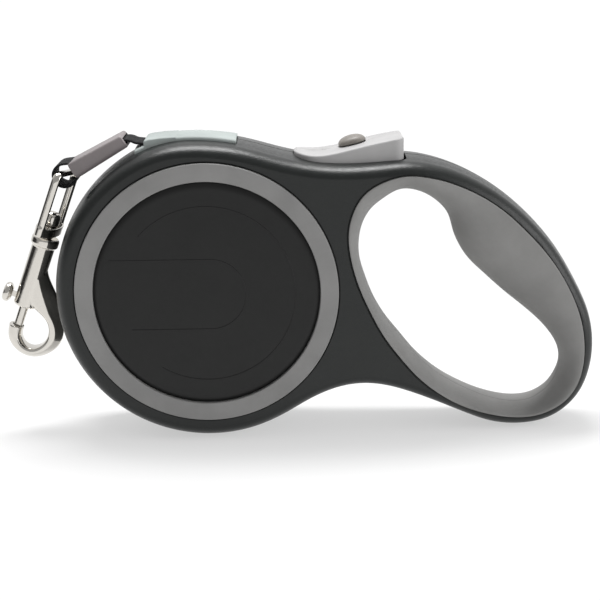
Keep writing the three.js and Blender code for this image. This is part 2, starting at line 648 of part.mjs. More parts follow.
function brakeButton() {
  const under = [[68, 44], [60, 43.2], [50, 42.3], [40, 41.4], [BUTTON_FRONT_X, 41.4]];
  const profile = slab(shapeOf([...BUTTON_TOP, ...under].reverse()), -BUTTON_Y, BUTTON_Y);
  const plan = column(buttonPlan(BUTTON_Y, BUTTON_FRONT_X, BUTTON_REAR_X), 0, SKIN);
  const knuckleY = -PAWL_Y[1] - GAP;
  const knuckle = rod(KNUCKLE_R, -knuckleY, knuckleY, PIVOT);
  const { halfX, halfY, top } = WEB;
  const web = block([PIVOT[0] - halfX, PIVOT[0] + halfX], [-halfY, halfY], [PIVOT[1], top]);
  const bore = rod(PIN_R + GAP, -SKIN, SKIN, PIVOT);
  const { from, to, halfW } = STEM_SLOT;
  const stemSlot = block([from, to], [-halfW, halfW], [0, SKIN]);
  const body = join(profile.intersect(plan), knuckle, web);
  piece("brake_button", cut(body, bore, stemSlot), BUTTON_GREY);
  piece("button_pin", rod(PIN_R, -PIN_REACH, PIN_REACH, PIVOT), STEEL);
}

function brakePawl() {
  const arm = slab(shapeOf(PAWL_SIDE), ...PAWL_Y);
  const hub = rod(KNUCKLE_R, ...PAWL_Y, PIVOT);
  piece("brake_pawl", cut(arm.add(hub), rod(PIN_R + GAP, -SKIN, SKIN, PIVOT)), WHITE_NYLON);
}

// The knob stands on the button's slope, clear of its surface, with its stem in the button's slot.
function lockKnob() {
  const slope = Math.atan2(49.5 - 47.1, 55 - 45);
  const { base, half, height, shoulder, halfW } = KNOB;
  const dome = new THREE.Shape();
  dome.moveTo(-half, 0);
  dome.lineTo(half, 0);
  dome.quadraticCurveTo(half * 0.7, shoulder, 0, height);
  dome.quadraticCurveTo(-half * 0.7, shoulder, -half, 0);
  const { to, halfW: stemW, top, foot, bottom, heel } = KNOB_STEM;
  const stem = block([0, to], [-stemW, stemW], [foot - GAP, top]);
  const heelBlock = block([heel, to], [-stemW, stemW], [bottom, foot]);
  const knob = join(slab(dome, -halfW, halfW), stem, heelBlock);
  const placed = toGeometry(knob).rotateY(-slope).translate(base[0], 0, base[1]);
  piece("lock_knob", toSolid(placed), KNOB_GREY);
}

function buttonSpring() {
  const placed = coil(BUTTON_SPRING, 5)
    .translate(SPRING_X, 0, SPRING_SEAT_Z + BUTTON_SPRING.wireR + GAP);
  piece("button_spring", toSolid(placed), STEEL);
}

// ---- Snap hook, drawn about its own axis: Z along the hook, origin at the eye's top bar -----
// A closed [radius, z] profile turned about the hook's axis.
function turnedUp(profile, sides = 20) {
  const points = [...profile, profile[0]].map(([r, z]) => new THREE.Vector2(r, z));
  return toSolid(new THREE.LatheGeometry(points, sides).rotateX(Math.PI / 2));
}

const pinUp = (r, z0, z1, sides = PIN_SIDES) => {
  const geometry = new THREE.CylinderGeometry(r, r, z1 - z0, sides).rotateX(Math.PI / 2);
  return toSolid(geometry.translate(0, 0, (z0 + z1) / 2));
};

function swivelEye() {
  const [w, corner, foot] = [EYE_HALF_W, EYE_CORNER, EYE_FOOT.z];
  const path = new THREE.CurvePath();
  const v = (y, z) => new THREE.Vector3(0, y, z);
  path.add(new THREE.LineCurve3(v(-w, foot), v(-w, -corner)));
  path.add(new THREE.QuadraticBezierCurve3(v(-w, -corner), v(-w, 0), v(corner - w, 0)));
  path.add(new THREE.LineCurve3(v(corner - w, 0), v(w - corner, 0)));
  path.add(new THREE.QuadraticBezierCurve3(v(w - corner, 0), v(w, 0), v(w, -corner)));
  path.add(new THREE.LineCurve3(v(w, -corner), v(w, foot)));
  const stirrup = toSolid(sweep(bandSection(...EYE_BAND), path, 34));
  const { halfX, spare, depth, bottom } = EYE_FOOT;
  const plan = new THREE.Shape().absellipse(0, 0, halfX, w + spare, 0, 2 * Math.PI);
  const plate = new THREE.ExtrudeGeometry(plan, { depth, bevelEnabled: false, curveSegments: 6 });
  const eye = cut(
    join(stirrup, toSolid(plate.translate(0, 0, bottom))),
    pinUp(STUD_R + GAP, bottom - LOOSE, foot + LOOSE),
  );
  piece("swivel_eye", toSolid(toGeometry(eye).rotateZ(EYE_TWIST)), CHROME, hookGroup);
}

function swivelStud() {
  const { r, rimR, bottom, edge, shoulder, top } = STUD_HEAD;
  const stud = turnedUp([
    [0, STUD_BOTTOM], [STUD_R, STUD_BOTTOM], [STUD_R, bottom], [r, bottom], [r, edge], [rimR, shoulder],
    [0, top],
  ]);
  piece("swivel_stud", stud, STEEL, hookGroup);
}

const HOOK_OUTER = [
  [3.5, -31], [4.6, -36.5], [9, -41.6], [13.4, -48.5], [16.5, -55.5], [16, -60.4], [12, -65.6],
  [7, -67.7], [1.2, -66.4], [-2.2, -63.2], [-3.4, -59.6],
];
const HOOK_INNER = [
  [2.6, -59.6], [3.6, -62.6], [7, -64.3], [10.6, -61.6], [11.4, -58], [10.4, -54], [7.6, -51.2],
  [3.6, -50.2],
];
const HOOK_LEFT = [[-3.4, BARREL_Z[0]], [-3.4, HOOK_OUTER[0][1]]];

function hookBody() {
  const curve = (points) =>
    new THREE.SplineCurve(points.map(([x, z]) => new THREE.Vector2(x, z)))
      .getPoints(points.length * 2)
      .map(({ x, y }) => [x, y]);
  const shape = shapeOf([...curve(HOOK_OUTER), ...curve(HOOK_INNER), ...HOOK_LEFT].reverse());
  const cheek = slab(shape, -HOOK_HALF_T, HOOK_HALF_T, { size: 0.8, reach: 1.2, segments: 2 });
  const [low, high] = BARREL_Z;
  const barrel = turnedUp([
    [0, low], [BARREL_R, low], [BARREL_R, high], [COLLAR.r, COLLAR.low], [COLLAR.r, COLLAR.high],
    [COLLAR.topR, COLLAR.top], [0, COLLAR.top],
  ]);
  const { halfW, z } = HOOK_SLOT;
  const body = cut(
    join(cheek, barrel),
    pinUp(STUD_R + GAP, STUD_BOTTOM - GAP, COLLAR.top + LOOSE),
    pinUp(BORE_R, ...BORE_Z),
    pinUp(BORE_R, ...BOLT_SEAT_Z),
    block([-BARREL_R - LOOSE, 0], [-halfW, halfW], z),
  );
  piece("hook_body", body, CHROME, hookGroup);
}

function plunger() {
  const stem = block([ROD_STEM.reach, 0], [-ROD_STEM.halfW, ROD_STEM.halfW], ROD_STEM.z);
  piece("plunger_rod", pinUp(ROD_R, ...ROD_Z).add(stem), STEEL, hookGroup);
  const knob = new THREE.LatheGeometry(THUMB.profile.map(([r, h]) => new THREE.Vector2(r, h)), 24);
  piece("thumb_knob", toSolid(knob.rotateZ(Math.PI / 2).translate(THUMB.x, 0, THUMB.z)), CHROME, hookGroup);
  const spring = coil(PLUNGER_SPRING, 4).translate(0, 0, PLUNGER_SPRING.z);
  piece("plunger_spring", toSolid(spring), STEEL, hookGroup);
}

// ---- Assembly --------------------------------------------------------------------------------
housing();
gripLiner("grip_liner_near", -1);
gripLiner("grip_liner_far", 1);
trim("near", -1);
trim("far", 1);
screws();
outletStrip();
spool();
spiralSpring();
tapeLead();
piece("tape_end", tapeEnd(TAPE_T, TAPE_W / 2), TAPE_BLACK);
sleeve();
brakeButton();
brakePawl();
lockKnob();
buttonSpring();
swivelEye();
swivelStud();
hookBody();
plunger();

export default leash;
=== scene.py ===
import math

import bmesh
import bpy
import numpy as np
from mathutils import Matrix, Vector


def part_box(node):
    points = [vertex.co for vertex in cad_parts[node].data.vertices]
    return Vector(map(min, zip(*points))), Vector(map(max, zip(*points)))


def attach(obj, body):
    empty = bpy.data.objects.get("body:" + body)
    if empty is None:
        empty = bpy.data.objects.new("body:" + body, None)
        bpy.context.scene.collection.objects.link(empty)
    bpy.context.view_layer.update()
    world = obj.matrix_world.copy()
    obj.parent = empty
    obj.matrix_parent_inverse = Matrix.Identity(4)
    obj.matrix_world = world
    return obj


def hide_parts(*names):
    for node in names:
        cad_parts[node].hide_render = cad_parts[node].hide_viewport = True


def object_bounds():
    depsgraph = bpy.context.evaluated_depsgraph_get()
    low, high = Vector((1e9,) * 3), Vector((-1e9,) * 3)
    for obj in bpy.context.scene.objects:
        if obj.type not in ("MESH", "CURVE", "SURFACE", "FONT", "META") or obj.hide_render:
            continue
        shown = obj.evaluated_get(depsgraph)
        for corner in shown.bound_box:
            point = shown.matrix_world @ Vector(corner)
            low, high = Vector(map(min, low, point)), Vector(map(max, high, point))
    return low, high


# The looks of a retractable tape leash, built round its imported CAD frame.
#
# Shapes are drawn in millimetres in the drum's frame: its origin is the middle of the drum, X runs
# towards the handle, Y across the thickness and Z up. Each finished piece is then placed in the row
# frame, in metres. The snap hook is drawn about its own axis and placed through HOOK_PLACE.

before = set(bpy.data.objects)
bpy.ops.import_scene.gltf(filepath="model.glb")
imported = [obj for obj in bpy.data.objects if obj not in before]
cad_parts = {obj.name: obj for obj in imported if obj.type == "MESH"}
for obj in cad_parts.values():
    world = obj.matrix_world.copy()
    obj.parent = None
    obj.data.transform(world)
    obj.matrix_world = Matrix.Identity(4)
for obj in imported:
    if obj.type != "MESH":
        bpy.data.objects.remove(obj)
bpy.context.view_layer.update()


def middle_of(node):
    low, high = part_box(node)
    return (low + high) / 2


PLACE = Matrix.Translation(middle_of("axle_post")) @ Matrix.Scale(0.001, 4)

# ---- Driving dimensions, in mm ---------------------------------------------------------------
GAP = 0.3
FAR = 300  # past every edge of the part, for cutters
DRUM_R = 53
FACE_Y = 18
EDGE_IN, EDGE_Y = 4.5, 7
CROWN = 0.7
SEAM = 0.25
RIM = 0.35  # rounding of the edges of recesses and rings
SEAT_DEPTH, SEAT_GRIP = 1.6, 0.15
WALL, LINER_WALL = 2.5, 1.8
THIN_FROM, THIN_TO, THIN_BY = 46, 130, 0.38
CAVITY_END_X = 58
RING_R, DISC_R = 45.1, 38.6
RECESS_Y, TRIM_Y, DISC_Y = 16.7, 19, 18.5
CAP_RIM, CAP_DOME, CAP_DROP = 1.6, 0.3, 0.55
CAP_STEPS = [0, 6, 12, 18, 24, 28, 31, 34, 36, 37, DISC_R - 0.9, DISC_R - 0.3, DISC_R]
LINE_R, LINE_SUNK = 0.24, 0.1
CIRCLE_LINE_R, CIRCLE_LINE_ARC = 30.4, (-122, 138)
SLOT_LINE_HALF = 12.2
SLOT_LINE_X = (-33, -26, 13.5 - SLOT_LINE_HALF)  # upper start, lower start, middle of the round end
LIP, LIP_PROUD = 0.1, 0.2
TAPE_W, TAPE_T = 13, 0.8
TAPE_SLOPE = math.radians(6.5)
OUTLET = (-22.8, 50.4)
STRIP_X = (-23.5, 11)
STRIP_HALF_W = 8.5
STRIP_PROUD, STRIP_DEEP = 0.8, 1.9
STRIP_EDGE, STRIP_CROWN = 0.9, 0.25
STRIP_SPAN_Z = (30, 70)
MOUTH_X = -20.4
HOOD = [(-9, 52.75), (-14.7, 52.45), (-18.7, 51.95), (-20.4, 51.45), (MOUTH_X, 49), (-9, 50)]
BUTTON_Y = 10
BUTTON_X = (30.5, 68)
BUTTON_NOSE, BUTTON_CORNER = 9, 3
BUTTON_EDGE, BUTTON_CROWN = 0.8, 0.35
WINDOW_REAR_GAP = 0.95  # room for the button's rear corner as it turns
WINDOW_Z = (40.7, 70)
PIVOT = (34, 38.6)
KNUCKLE_R, KNUCKLE_Y, PIN_BORE_R = 2.2, 6.9, 1.5
LOCK_AT = (50.7, 48.75)
LOCK_SLOPE = math.atan2(2.4, 10)
LOCK_HALF, LOCK_H, LOCK_HALF_W = 4.8, 2.5, 4.6
SLEEVE_SIDE = [(-46.8, 43.7), (-43.8, 38.5), (-25.6, 49.4), (-28.2, 53.2)]
SLEEVE_W, SLEEVE_TOP_R, SLEEVE_LOW_R = 16, 0.8, 2.1
SLEEVE_SLOT = (TAPE_W / 2 + 0.4, 1.15)
LOOP_R = 3.6
LAYER_GAP = 0.06
EYE = (-48, 39.6)
HOOK_TILT = math.radians(20.5)
HOOK_PLACE = PLACE @ Matrix.Translation((EYE[0], 0, EYE[1])) @ Matrix.Rotation(HOOK_TILT, 4, "Y")
EYE_TWIST = math.radians(-14)
EYE_HALF_W, EYE_CORNER, EYE_FOOT_Z = 8.6, 2.6, -20.5
EYE_BAND = (0.95, 1.5)
EYE_FOOT = (3.5, 9.9, -22.9, -19.5)  # half depth, half width, underside, top
STUD_BORE_R, BOLT_BORE_R = 2.2, 2
HOOK_HALF_T = 3.6
ROUND_FROM, ROUND_OVER = 0.62, 0.25  # where along the bend its section starts to turn round
STEM_HEAD = (-5.3, -47.4)

HANDLE_OUTLINE = [
    (31.5, -42.8), (38.4, -39), (45.5, -36.3), (52.5, -35.2), (59.6, -35.8), (66.7, -37.8),
    (77.4, -42.1), (88.3, -47.1), (98, -51.2), (106, -52.7), (113.5, -52.6), (121, -50.9),
    (128, -46.1), (132.6, -40), (135.3, -31.5), (136, -23), (134.4, -12.5), (129, -0.7),
    (121.5, 11.8), (114, 20.8), (106.7, 27.8), (99.5, 33.3), (92.3, 37.6), (85, 41),
    (77, 43.4), (69, 44.6), (59, 44), (50, 43.6), (41, 43.9), (34, 44.8), (27, 46.3),
    (20, 48.3), (13, 50.2), (6, 51.4), (-2, 52), (-10, 51.8),
]

# Each station of the grip liner: outer x, outer z, crest x, crest z, once round the opening.
LINER_STATIONS = [
    (68, 39.3, 67, 33), (60.5, 37.5, 60.4, 29.2), (54.4, 33.9, 56.9, 26.2), (50.7, 28.6, 54.2, 21.6),
    (48.6, 21, 52.9, 16), (49.1, 12.5, 53, 9), (51.8, 2.2, 55.4, 0.5), (55.9, -7.4, 58.9, -8.3),
    (60.6, -16.3, 63.3, -15.7), (66.9, -25, 68.7, -22.3), (73.2, -32.3, 74.4, -29.2),
    (81.2, -38.9, 82, -35.8), (89.2, -43.5, 89.8, -40.4), (98.9, -47, 99, -44.4),
    (108.7, -48.6, 108, -46.4), (116.7, -47.9, 115, -45.6), (124.6, -44, 120.6, -41.8),
    (129.2, -38.3, 123.6, -37.2), (131.4, -30.9, 125.2, -32.5), (131.7, -23.5, 124.7, -27.3),
    (130.6, -15.3, 122.4, -22.4), (127.6, -6.4, 117.8, -16.6), (122.9, 2.6, 111.6, -10.9),
    (117.2, 10.7, 104.3, -4.9), (109.9, 18.7, 97.4, 1.4), (102, 26, 90.8, 8), (93.3, 31.8, 86.6, 15.4),
    (83.3, 36.4, 83.8, 24), (75.6, 38.5, 75.8, 31),
]


def circle_point(r, degrees, centre=(0, 0)):
    a = math.radians(degrees)
    return (centre[0] + r * math.cos(a), centre[1] + r * math.sin(a))


SCREWS = {
    "screw_front": circle_point(47.7, 143),
    "screw_lower_front": circle_point(47.7, 222),
    "screw_lower_rear": circle_point(47.7, 292),
    "screw_neck": (54, -28),
}
SCREW_R, SCREW_HEAD_R, BOSS_R = 1.2, 2.3, 3.4


# ---- Curves ----------------------------------------------------------------------------------
def closed_curve(points, count, smoothing=0):
    """Evenly spaced points on a closed centripetal spline through points, then smoothed."""
    pts = np.array(points, float)
    n = len(pts)
    dense = []
    for k in range(n):
        p = [pts[(k + j - 1) % n] for j in range(4)]
        d = [math.sqrt(np.linalg.norm(p[j + 1] - p[j])) for j in range(3)]
        t1 = ((p[1] - p[0]) / d[0] - (p[2] - p[0]) / (d[0] + d[1]) + (p[2] - p[1]) / d[1]) * d[1]
        t2 = ((p[2] - p[1]) / d[1] - (p[3] - p[1]) / (d[1] + d[2]) + (p[3] - p[2]) / d[2]) * d[1]
        for w in np.linspace(0, 1, 16, endpoint=False):
            h = (2 * w**3 - 3 * w**2 + 1, w**3 - 2 * w**2 + w, -2 * w**3 + 3 * w**2, w**3 - w**2)
            dense.append(h[0] * p[1] + h[1] * t1 + h[2] * p[2] + h[3] * t2)
    even = resample(np.array(dense), count)
    for _ in range(smoothing):
        even = (np.roll(even, 1, 0) + 2 * even + np.roll(even, -1, 0)) / 4
    return even


def resample(points, count, closed=True):
    """count points evenly spaced along a line of points."""
    line = np.vstack([points, points[:1]]) if closed else np.array(points, float)
    at = np.concatenate([[0], np.cumsum(np.linalg.norm(np.diff(line, axis=0), axis=1))])
    stops = np.linspace(0, at[-1], count, endpoint=not closed)
    return np.column_stack([np.interp(stops, at, line[:, i]) for i in range(line.shape[1])])


def smooth_line(points, count, passes=30):
    """A smooth open line through points."""
    pts = np.array(points, float)
    stops = np.linspace(0, len(pts) - 1, count)
    line = np.column_stack([np.interp(stops, range(len(pts)), column) for column in pts.T])
    for _ in range(passes):
        line[1:-1] = (line[:-2] + 2 * line[1:-1] + line[2:]) / 4
    return line


def normals_of(points, closed=True):
    """The unit normal on the right of a line's direction, at each point."""
    if closed:
        t = np.roll(points, -1, 0) - np.roll(points, 1, 0)
    else:
        t = np.gradient(points, axis=0)
    t /= np.linalg.norm(t, axis=1, keepdims=True)
    return np.column_stack([t[:, 1], -t[:, 0]])


def area_of(points):
    x, z = points.T
    return 0.5 * float(np.sum(x * np.roll(z, -1) - np.roll(x, -1) * z))


def grown(points, d):
    """A closed outline moved outwards by d along its normals."""
    return points + normals_of(points) * d * math.copysign(1, area_of(points))


drum_arc = [circle_point(DRUM_R, a) for a in range(108, 301, 12)]
HOUSING = closed_curve(drum_arc + HANDLE_OUTLINE, 420, smoothing=14)
LINER_OUTER = closed_curve([s[:2] for s in LINER_STATIONS], 240, smoothing=4)
LINER_CREST = closed_curve([s[2:] for s in LINER_STATIONS], 240, smoothing=4)


# ---- Meshes ----------------------------------------------------------------------------------
AXIS_R = 1e-4  # a point on the axis becomes a ring this small


def new_object(name, points, faces):
    mesh = bpy.data.meshes.new(name)
    mesh.from_pydata([tuple(p) for p in points], [], faces)
    made = bpy.data.objects.new(name, mesh)
    bpy.context.scene.collection.objects.link(made)
    return outward(made)


def outward(obj):
    bm = bmesh.new()
    bm.from_mesh(obj.data)
    bmesh.ops.remove_doubles(bm, verts=bm.verts, dist=1e-5)
    bmesh.ops.recalc_face_normals(bm, faces=bm.faces)
    bm.to_mesh(obj.data)
    bm.free()
    return obj


def loft(name, rings, ring_closed=False):
    """Rings of points joined each to the next, with end faces, or the last to the first."""
    rings = [np.asarray(r, float) for r in rings]
    n = len(rings[0])
    faces = []
    last = len(rings) if ring_closed else len(rings) - 1
    for k in range(last):
        a, b = k * n, ((k + 1) % len(rings)) * n
        faces += [(a + i, a + (i + 1) % n, b + (i + 1) % n, b + i) for i in range(n)]
    if not ring_closed:
        faces.append(tuple(range(n)))
        faces.append(tuple(range((len(rings) - 1) * n, len(rings) * n)))
    return new_object(name, np.vstack(rings), faces)


def at_y(points, y):
    """An [x, z] outline as points at y."""
    return np.column_stack([points[:, 0], np.full(len(points), y), points[:, 1]])


def slab(name, outline, y0, y1):
    outline = np.array(outline, float)
    return loft(name, [at_y(outline, y0), at_y(outline, y1)])


def block(name, xs, ys, zs):
    (x0, x1), (z0, z1) = xs, zs
    return slab(name, [(x0, z0), (x1, z0), (x1, z1), (x0, z1)], *ys)


def turned(name, profile, centre=(0, 0), sides=96):
    """An open [radius, y] profile that starts and ends on the axis, turned about Y."""
    rings = []
    for r, y in profile:
        a = np.linspace(0, 2 * math.pi, sides, endpoint=False)
        r = max(r, AXIS_R)
        xs, zs = centre[0] + r * np.cos(a), centre[1] + r * np.sin(a)
        rings.append(np.column_stack([xs, np.full(sides, y), zs]))
    return loft(name, rings)


def turned_up(name, profile, sides=48):
    """An open [radius, z] profile turned about Z."""
    rings = []
    for r, z in profile:
        a = np.linspace(0, 2 * math.pi, sides, endpoint=False)
        r = max(r, AXIS_R)
        rings.append(np.column_stack([r * np.cos(a), r * np.sin(a), np.full(sides, z)]))
    return loft(name, rings)


def rod(name, r, y0, y1, centre=(0, 0), sides=32):
    return turned(name, [(r, y0), (r, y1)], centre, sides)


def annulus(name, profile, sides=160):
    """A closed [radius, y] profile turned about the drum's axis."""
    a = np.linspace(0, 2 * math.pi, sides, endpoint=False)
    rings = [np.array([(r * math.cos(t), y, r * math.sin(t)) for r, y in profile]) for t in a]
    return loft(name, rings, ring_closed=True)


def swept(name, path, section, facing):
    """A closed [across, up] section carried along an open path, its up side kept along facing."""
    path = np.array(path, float)
    tangents = np.gradient(path, axis=0)
    tangents /= np.linalg.norm(tangents, axis=1, keepdims=True)
    rings = []
    for p, t in zip(path, tangents):
        across = np.cross(t, facing)
        across /= np.linalg.norm(across)
        up = np.cross(across, t)
        rings.append(np.array([p + across * u + up * v for u, v in section]))
    return loft(name, rings)


def round_section(r, sides):
    return [circle_point(r, 360 * i / sides) for i in range(sides)]


def band_section(half_u, half_v, sides=28, power=2.2):
    """A rounded rectangle, as a superellipse."""
    section = []
    for i in range(sides):
        a = 2 * math.pi * i / sides
        c, v = math.cos(a), math.sin(a)
        scale = (abs(c) ** power + abs(v) ** power) ** (-1 / power)
        section.append((half_u * c * scale, half_v * v * scale))
    return section


def settled(obj):
    """Applies every modifier of obj."""
    graph = bpy.context.evaluated_depsgraph_get()
    mesh = bpy.data.meshes.new_from_object(obj.evaluated_get(graph))
    obj.modifiers.clear()
    obj.data = mesh
    return obj


def combine(obj, tool, operation):
    change = obj.modifiers.new("combine", "BOOLEAN")
    change.operation = operation
    change.object = tool
    change.solver = "MANIFOLD"
    settled(obj)
    bpy.data.objects.remove(tool)
    return obj


def cut(obj, *tools):
    for tool in tools:
        combine(obj, tool, "DIFFERENCE")
    return obj


def join(obj, *tools):
    for tool in tools:
        combine(obj, tool, "UNION")
    return obj


def keep(obj, tool):
    return combine(obj, tool, "INTERSECT")


def bevelled(obj, width, segments=3, angle=30):
    change = obj.modifiers.new("bevel", "BEVEL")
    change.width = width
    change.segments = segments
    change.limit_method = "ANGLE"
    change.angle_limit = math.radians(angle)
    change.harden_normals = False
    return settled(obj)


def melted(obj, voxel, smoothing):
    """Remeshes obj and smooths it, so that joined shapes run into each other as in a casting."""
    change = obj.modifiers.new("remesh", "REMESH")
    change.mode = "VOXEL"
    change.voxel_size = voxel
    change = obj.modifiers.new("smooth", "SMOOTH")
    change.factor = 0.5
    change.iterations = smoothing
    return settled(obj)


def moved(obj, matrix):
    obj.data.transform(matrix)
    return obj


def sliced(obj, xs):
    """Splits the faces of obj at each x, so that a bend along X stays smooth."""
    bm = bmesh.new()
    bm.from_mesh(obj.data)
    for x in xs:
        geometry = bm.verts[:] + bm.edges[:] + bm.faces[:]
        bmesh.ops.bisect_plane(bm, geom=geometry, plane_co=(x, 0, 0), plane_no=(1, 0, 0), dist=1e-4)
    bm.to_mesh(obj.data)
    bm.free()
    return obj


def thinned(obj):
    """The handle gets thinner towards its far end."""
    for v in obj.data.vertices:
        t = min(max((v.co.x - THIN_FROM) / (THIN_TO - THIN_FROM), 0), 1)
        v.co.y *= 1 - THIN_BY * t * t * (3 - 2 * t)
    return obj


def shaded(obj, angle=32):
    """Smooth shading, with sharp edges over angle, and flat faces kept flat."""
    obj.data.polygons.foreach_set("use_smooth", [True] * len(obj.data.polygons))
    obj.data.set_sharp_from_angle(angle=math.radians(angle))
    change = obj.modifiers.new("normals", "WEIGHTED_NORMAL")
    change.keep_sharp = True
    change.weight = 80
    return obj


def finished(obj, look, body, slot, *replaced, angle=32, place=PLACE):
    """Places a piece in the row frame, gives it its material and body, and hides the CAD nodes it
    replaces.
    """
    moved(obj, place)
    shaded(obj, angle)
    obj.data.materials.clear()
    obj.data.materials.append(look)
    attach(obj, body)
    if replaced:
        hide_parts(*replaced)
    return obj


# ---- Materials -------------------------------------------------------------------------------
NOISE_SPAN = (0.3, 0.7)


def set_range(node, *limits):
    """Sets a Map Range node: from min, from max, to min, to max."""
    for key, value in zip(("From Min", "From Max", "To Min", "To Max"), limits):
        node.inputs[key].default_value = value


class Look:
    """A Principled material with helpers for its textures."""

    def __init__(self, name, color, roughness, metallic=0.0, specular=0.5):
        self.material = bpy.data.materials.new(name)
        self.material.use_nodes = True
        self.nodes = self.material.node_tree.nodes
        self.links = self.material.node_tree.links
        self.shader = self.nodes["Principled BSDF"]
        self.set("Base Color", (*color, 1))
        self.set("Roughness", roughness)
        self.set("Metallic", metallic)
        self.set("Specular IOR Level", specular)
        self.coords = self.nodes.new("ShaderNodeTexCoord").outputs["Object"]
        self.height = None

    def set(self, socket, value):
        self.shader.inputs[socket].default_value = value

    def node(self, kind, **inputs):
        made = self.nodes.new(kind)
        for key, value in inputs.items():
            socket = made.inputs[key.replace("_", " ")]
            if hasattr(value, "is_linked"):
                self.links.new(value, socket)
            else:
                socket.default_value = value
        return made

    def math(self, operation, a, b=None):
        """A Math node's result, from sockets or numbers."""
        made = self.nodes.new("ShaderNodeMath")
        made.operation = operation
        for socket, value in zip(made.inputs, (a, b)):
            if hasattr(value, "is_linked"):
                self.links.new(value, socket)
            elif value is not None:
                socket.default_value = value
        return made.outputs[0]

    def noise(self, scale, detail=2.0):
        made = self.node("ShaderNodeTexNoise", Vector=self.coords, Scale=scale, Detail=detail)
        return made.outputs["Fac"]

    def spread(self, value, low, high):
        """A noise value spread from low to high."""
        made = self.node("ShaderNodeMapRange", Value=value)
        set_range(made, *NOISE_SPAN, low, high)
        return made.outputs["Result"]

    def rough(self, scale, low, high, detail=3.0):
        uneven = self.spread(self.noise(scale, detail), low, high)
        self.links.new(uneven, self.shader.inputs["Roughness"])
        return self

    def tint(self, scale, low, high, detail=4.0):
        """Slow variation of the base colour between two colours."""
        ramp = self.node("ShaderNodeMix")
        ramp.data_type = "RGBA"
        self.links.new(self.spread(self.noise(scale, detail), 0, 1), ramp.inputs[0])
        ramp.inputs[6].default_value = (*low, 1)
        ramp.inputs[7].default_value = (*high, 1)
        self.links.new(ramp.outputs[2], self.shader.inputs["Base Color"])
        return self

    def bump(self, height, depth_mm, strength=1.0):
        made = self.node("ShaderNodeBump", Height=height, Strength=strength, Distance=depth_mm / 1000)
        if self.height is not None:
            self.links.new(self.height, made.inputs["Normal"])
        self.height = made.outputs["Normal"]
        self.links.new(self.height, self.shader.inputs["Normal"])
        return self


def grained(name, color, roughness, grain_mm, depth_mm, **extra):
    """Moulded plastic: a fine spark-eroded grain and slightly uneven gloss and colour."""
    look = Look(name, color, sum(roughness) / 2, **extra)
    look.rough(900, *roughness)
    lighter = tuple(min(1, c * 1.12) for c in color)
    darker = tuple(c * 0.9 for c in color)
    look.tint(60, darker, lighter)
    look.bump(look.noise(1000 / grain_mm, 1.0), depth_mm)
    return look.material


# Name, colour, least and most roughness, grain size and grain depth in mm.
SHELL = grained("shell_black", (0.0075, 0.0092, 0.0087), (0.28, 0.4), 0.4, 0.06, specular=0.42)
DISC = grained("disc_black", (0.008, 0.0082, 0.008), (0.3, 0.42), 0.3, 0.006, specular=0.3)
TRIM = grained("trim_grey", (0.225, 0.223, 0.22), (0.5, 0.62), 0.3, 0.006)
GRIP = grained("grip_rubber", (0.235, 0.233, 0.228), (0.62, 0.78), 0.35, 0.012, specular=0.35)
OUTLET_GREY = grained(
    "outlet_grey", (0.34, 0.375, 0.365), (0.5, 0.62), 0.3, 0.006, specular=0.25
)
BUTTON_GREY = grained("button_grey", (0.4, 0.395, 0.395), (0.42, 0.55), 0.3, 0.006)
LOCK_GREY = grained("lock_grey", (0.2, 0.183, 0.165), (0.42, 0.55), 0.3, 0.006)
SLEEVE = grained("sleeve_mauve", (0.222, 0.198, 0.2), (0.45, 0.6), 0.5, 0.03)
NYLON = grained("nylon", (0.68, 0.67, 0.63), (0.4, 0.55), 0.3, 0.005)


WARP_PER_MM, WEFT_PER_MM = 1.1, 1.6


def chrome():
    look = Look("chrome_plate", (0.66, 0.635, 0.59), 0.1, metallic=1.0)
    look.rough(700, 0.05, 0.16)
    look.bump(look.noise(160, 2.0), 0.05)
    look.bump(look.noise(900, 2.0), 0.012)
    return look.material


def steel():
    look = Look("plain_steel", (0.5, 0.5, 0.51), 0.35, metallic=1.0)
    look.rough(1200, 0.26, 0.42)
    look.bump(look.noise(1500, 2.0), 0.006)
    return look.material


def woven():
    """Black nylon tape: ribs along it and a fine plain weave across, from the ribbon's own map."""
    look = Look("woven_tape", (0.009, 0.009, 0.01), 0.8, specular=0.2)
    uv = look.nodes.new("ShaderNodeTexCoord").outputs["UV"]
    split = look.node("ShaderNodeSeparateXYZ", Vector=uv)

    def wave(value, per_mm):
        return look.math("SINE", look.math("MULTIPLY", value, per_mm * 2 * math.pi))

    warp = wave(split.outputs["Y"], WARP_PER_MM)
    weft = wave(split.outputs["X"], WEFT_PER_MM)
    look.bump(look.math("MULTIPLY", warp, weft), 0.09)
    look.bump(look.noise(2500, 2.0), 0.02)
    uneven = look.spread(look.noise(1200, 2.0), 0.6, 0.9)
    look.links.new(uneven, look.shader.inputs["Roughness"])
    return look.material


def wound():
    """The edges of the wound tape."""
    look = Look("tape_roll", (0.014, 0.014, 0.0155), 0.75, specular=0.35)
    look.bump(look.noise(1500, 2.0), 0.03)
    return look.material


CHROME = chrome()
STEEL = steel()
TAPE = woven()
TAPE_ROLL = wound()


# ---- Housing ---------------------------------------------------------------------------------
def rounded_half(name, outline, y_start, face_y, edge_in, edge_y, crown, side, seam=0.0):
    """Half a slab from y_start to its flat face, crowned across and with a rounded edge."""
    steps = [(y_start, seam), (y_start + seam, 0)] if seam else [(y_start, 0)]
    straight = face_y - edge_y
    for k in range(1, 6):
        y = straight * k / 5
        if y > y_start + seam + 0.2:
            steps.append((y, crown * (y / straight) ** 2))
    for k in range(1, 13):
        a = math.pi / 2 * k / 12
        steps.append((straight + edge_y * math.sin(a), crown + edge_in * (1 - math.cos(a))))
    return loft(name, [at_y(grown(outline, -d), y * side) for y, d in steps])


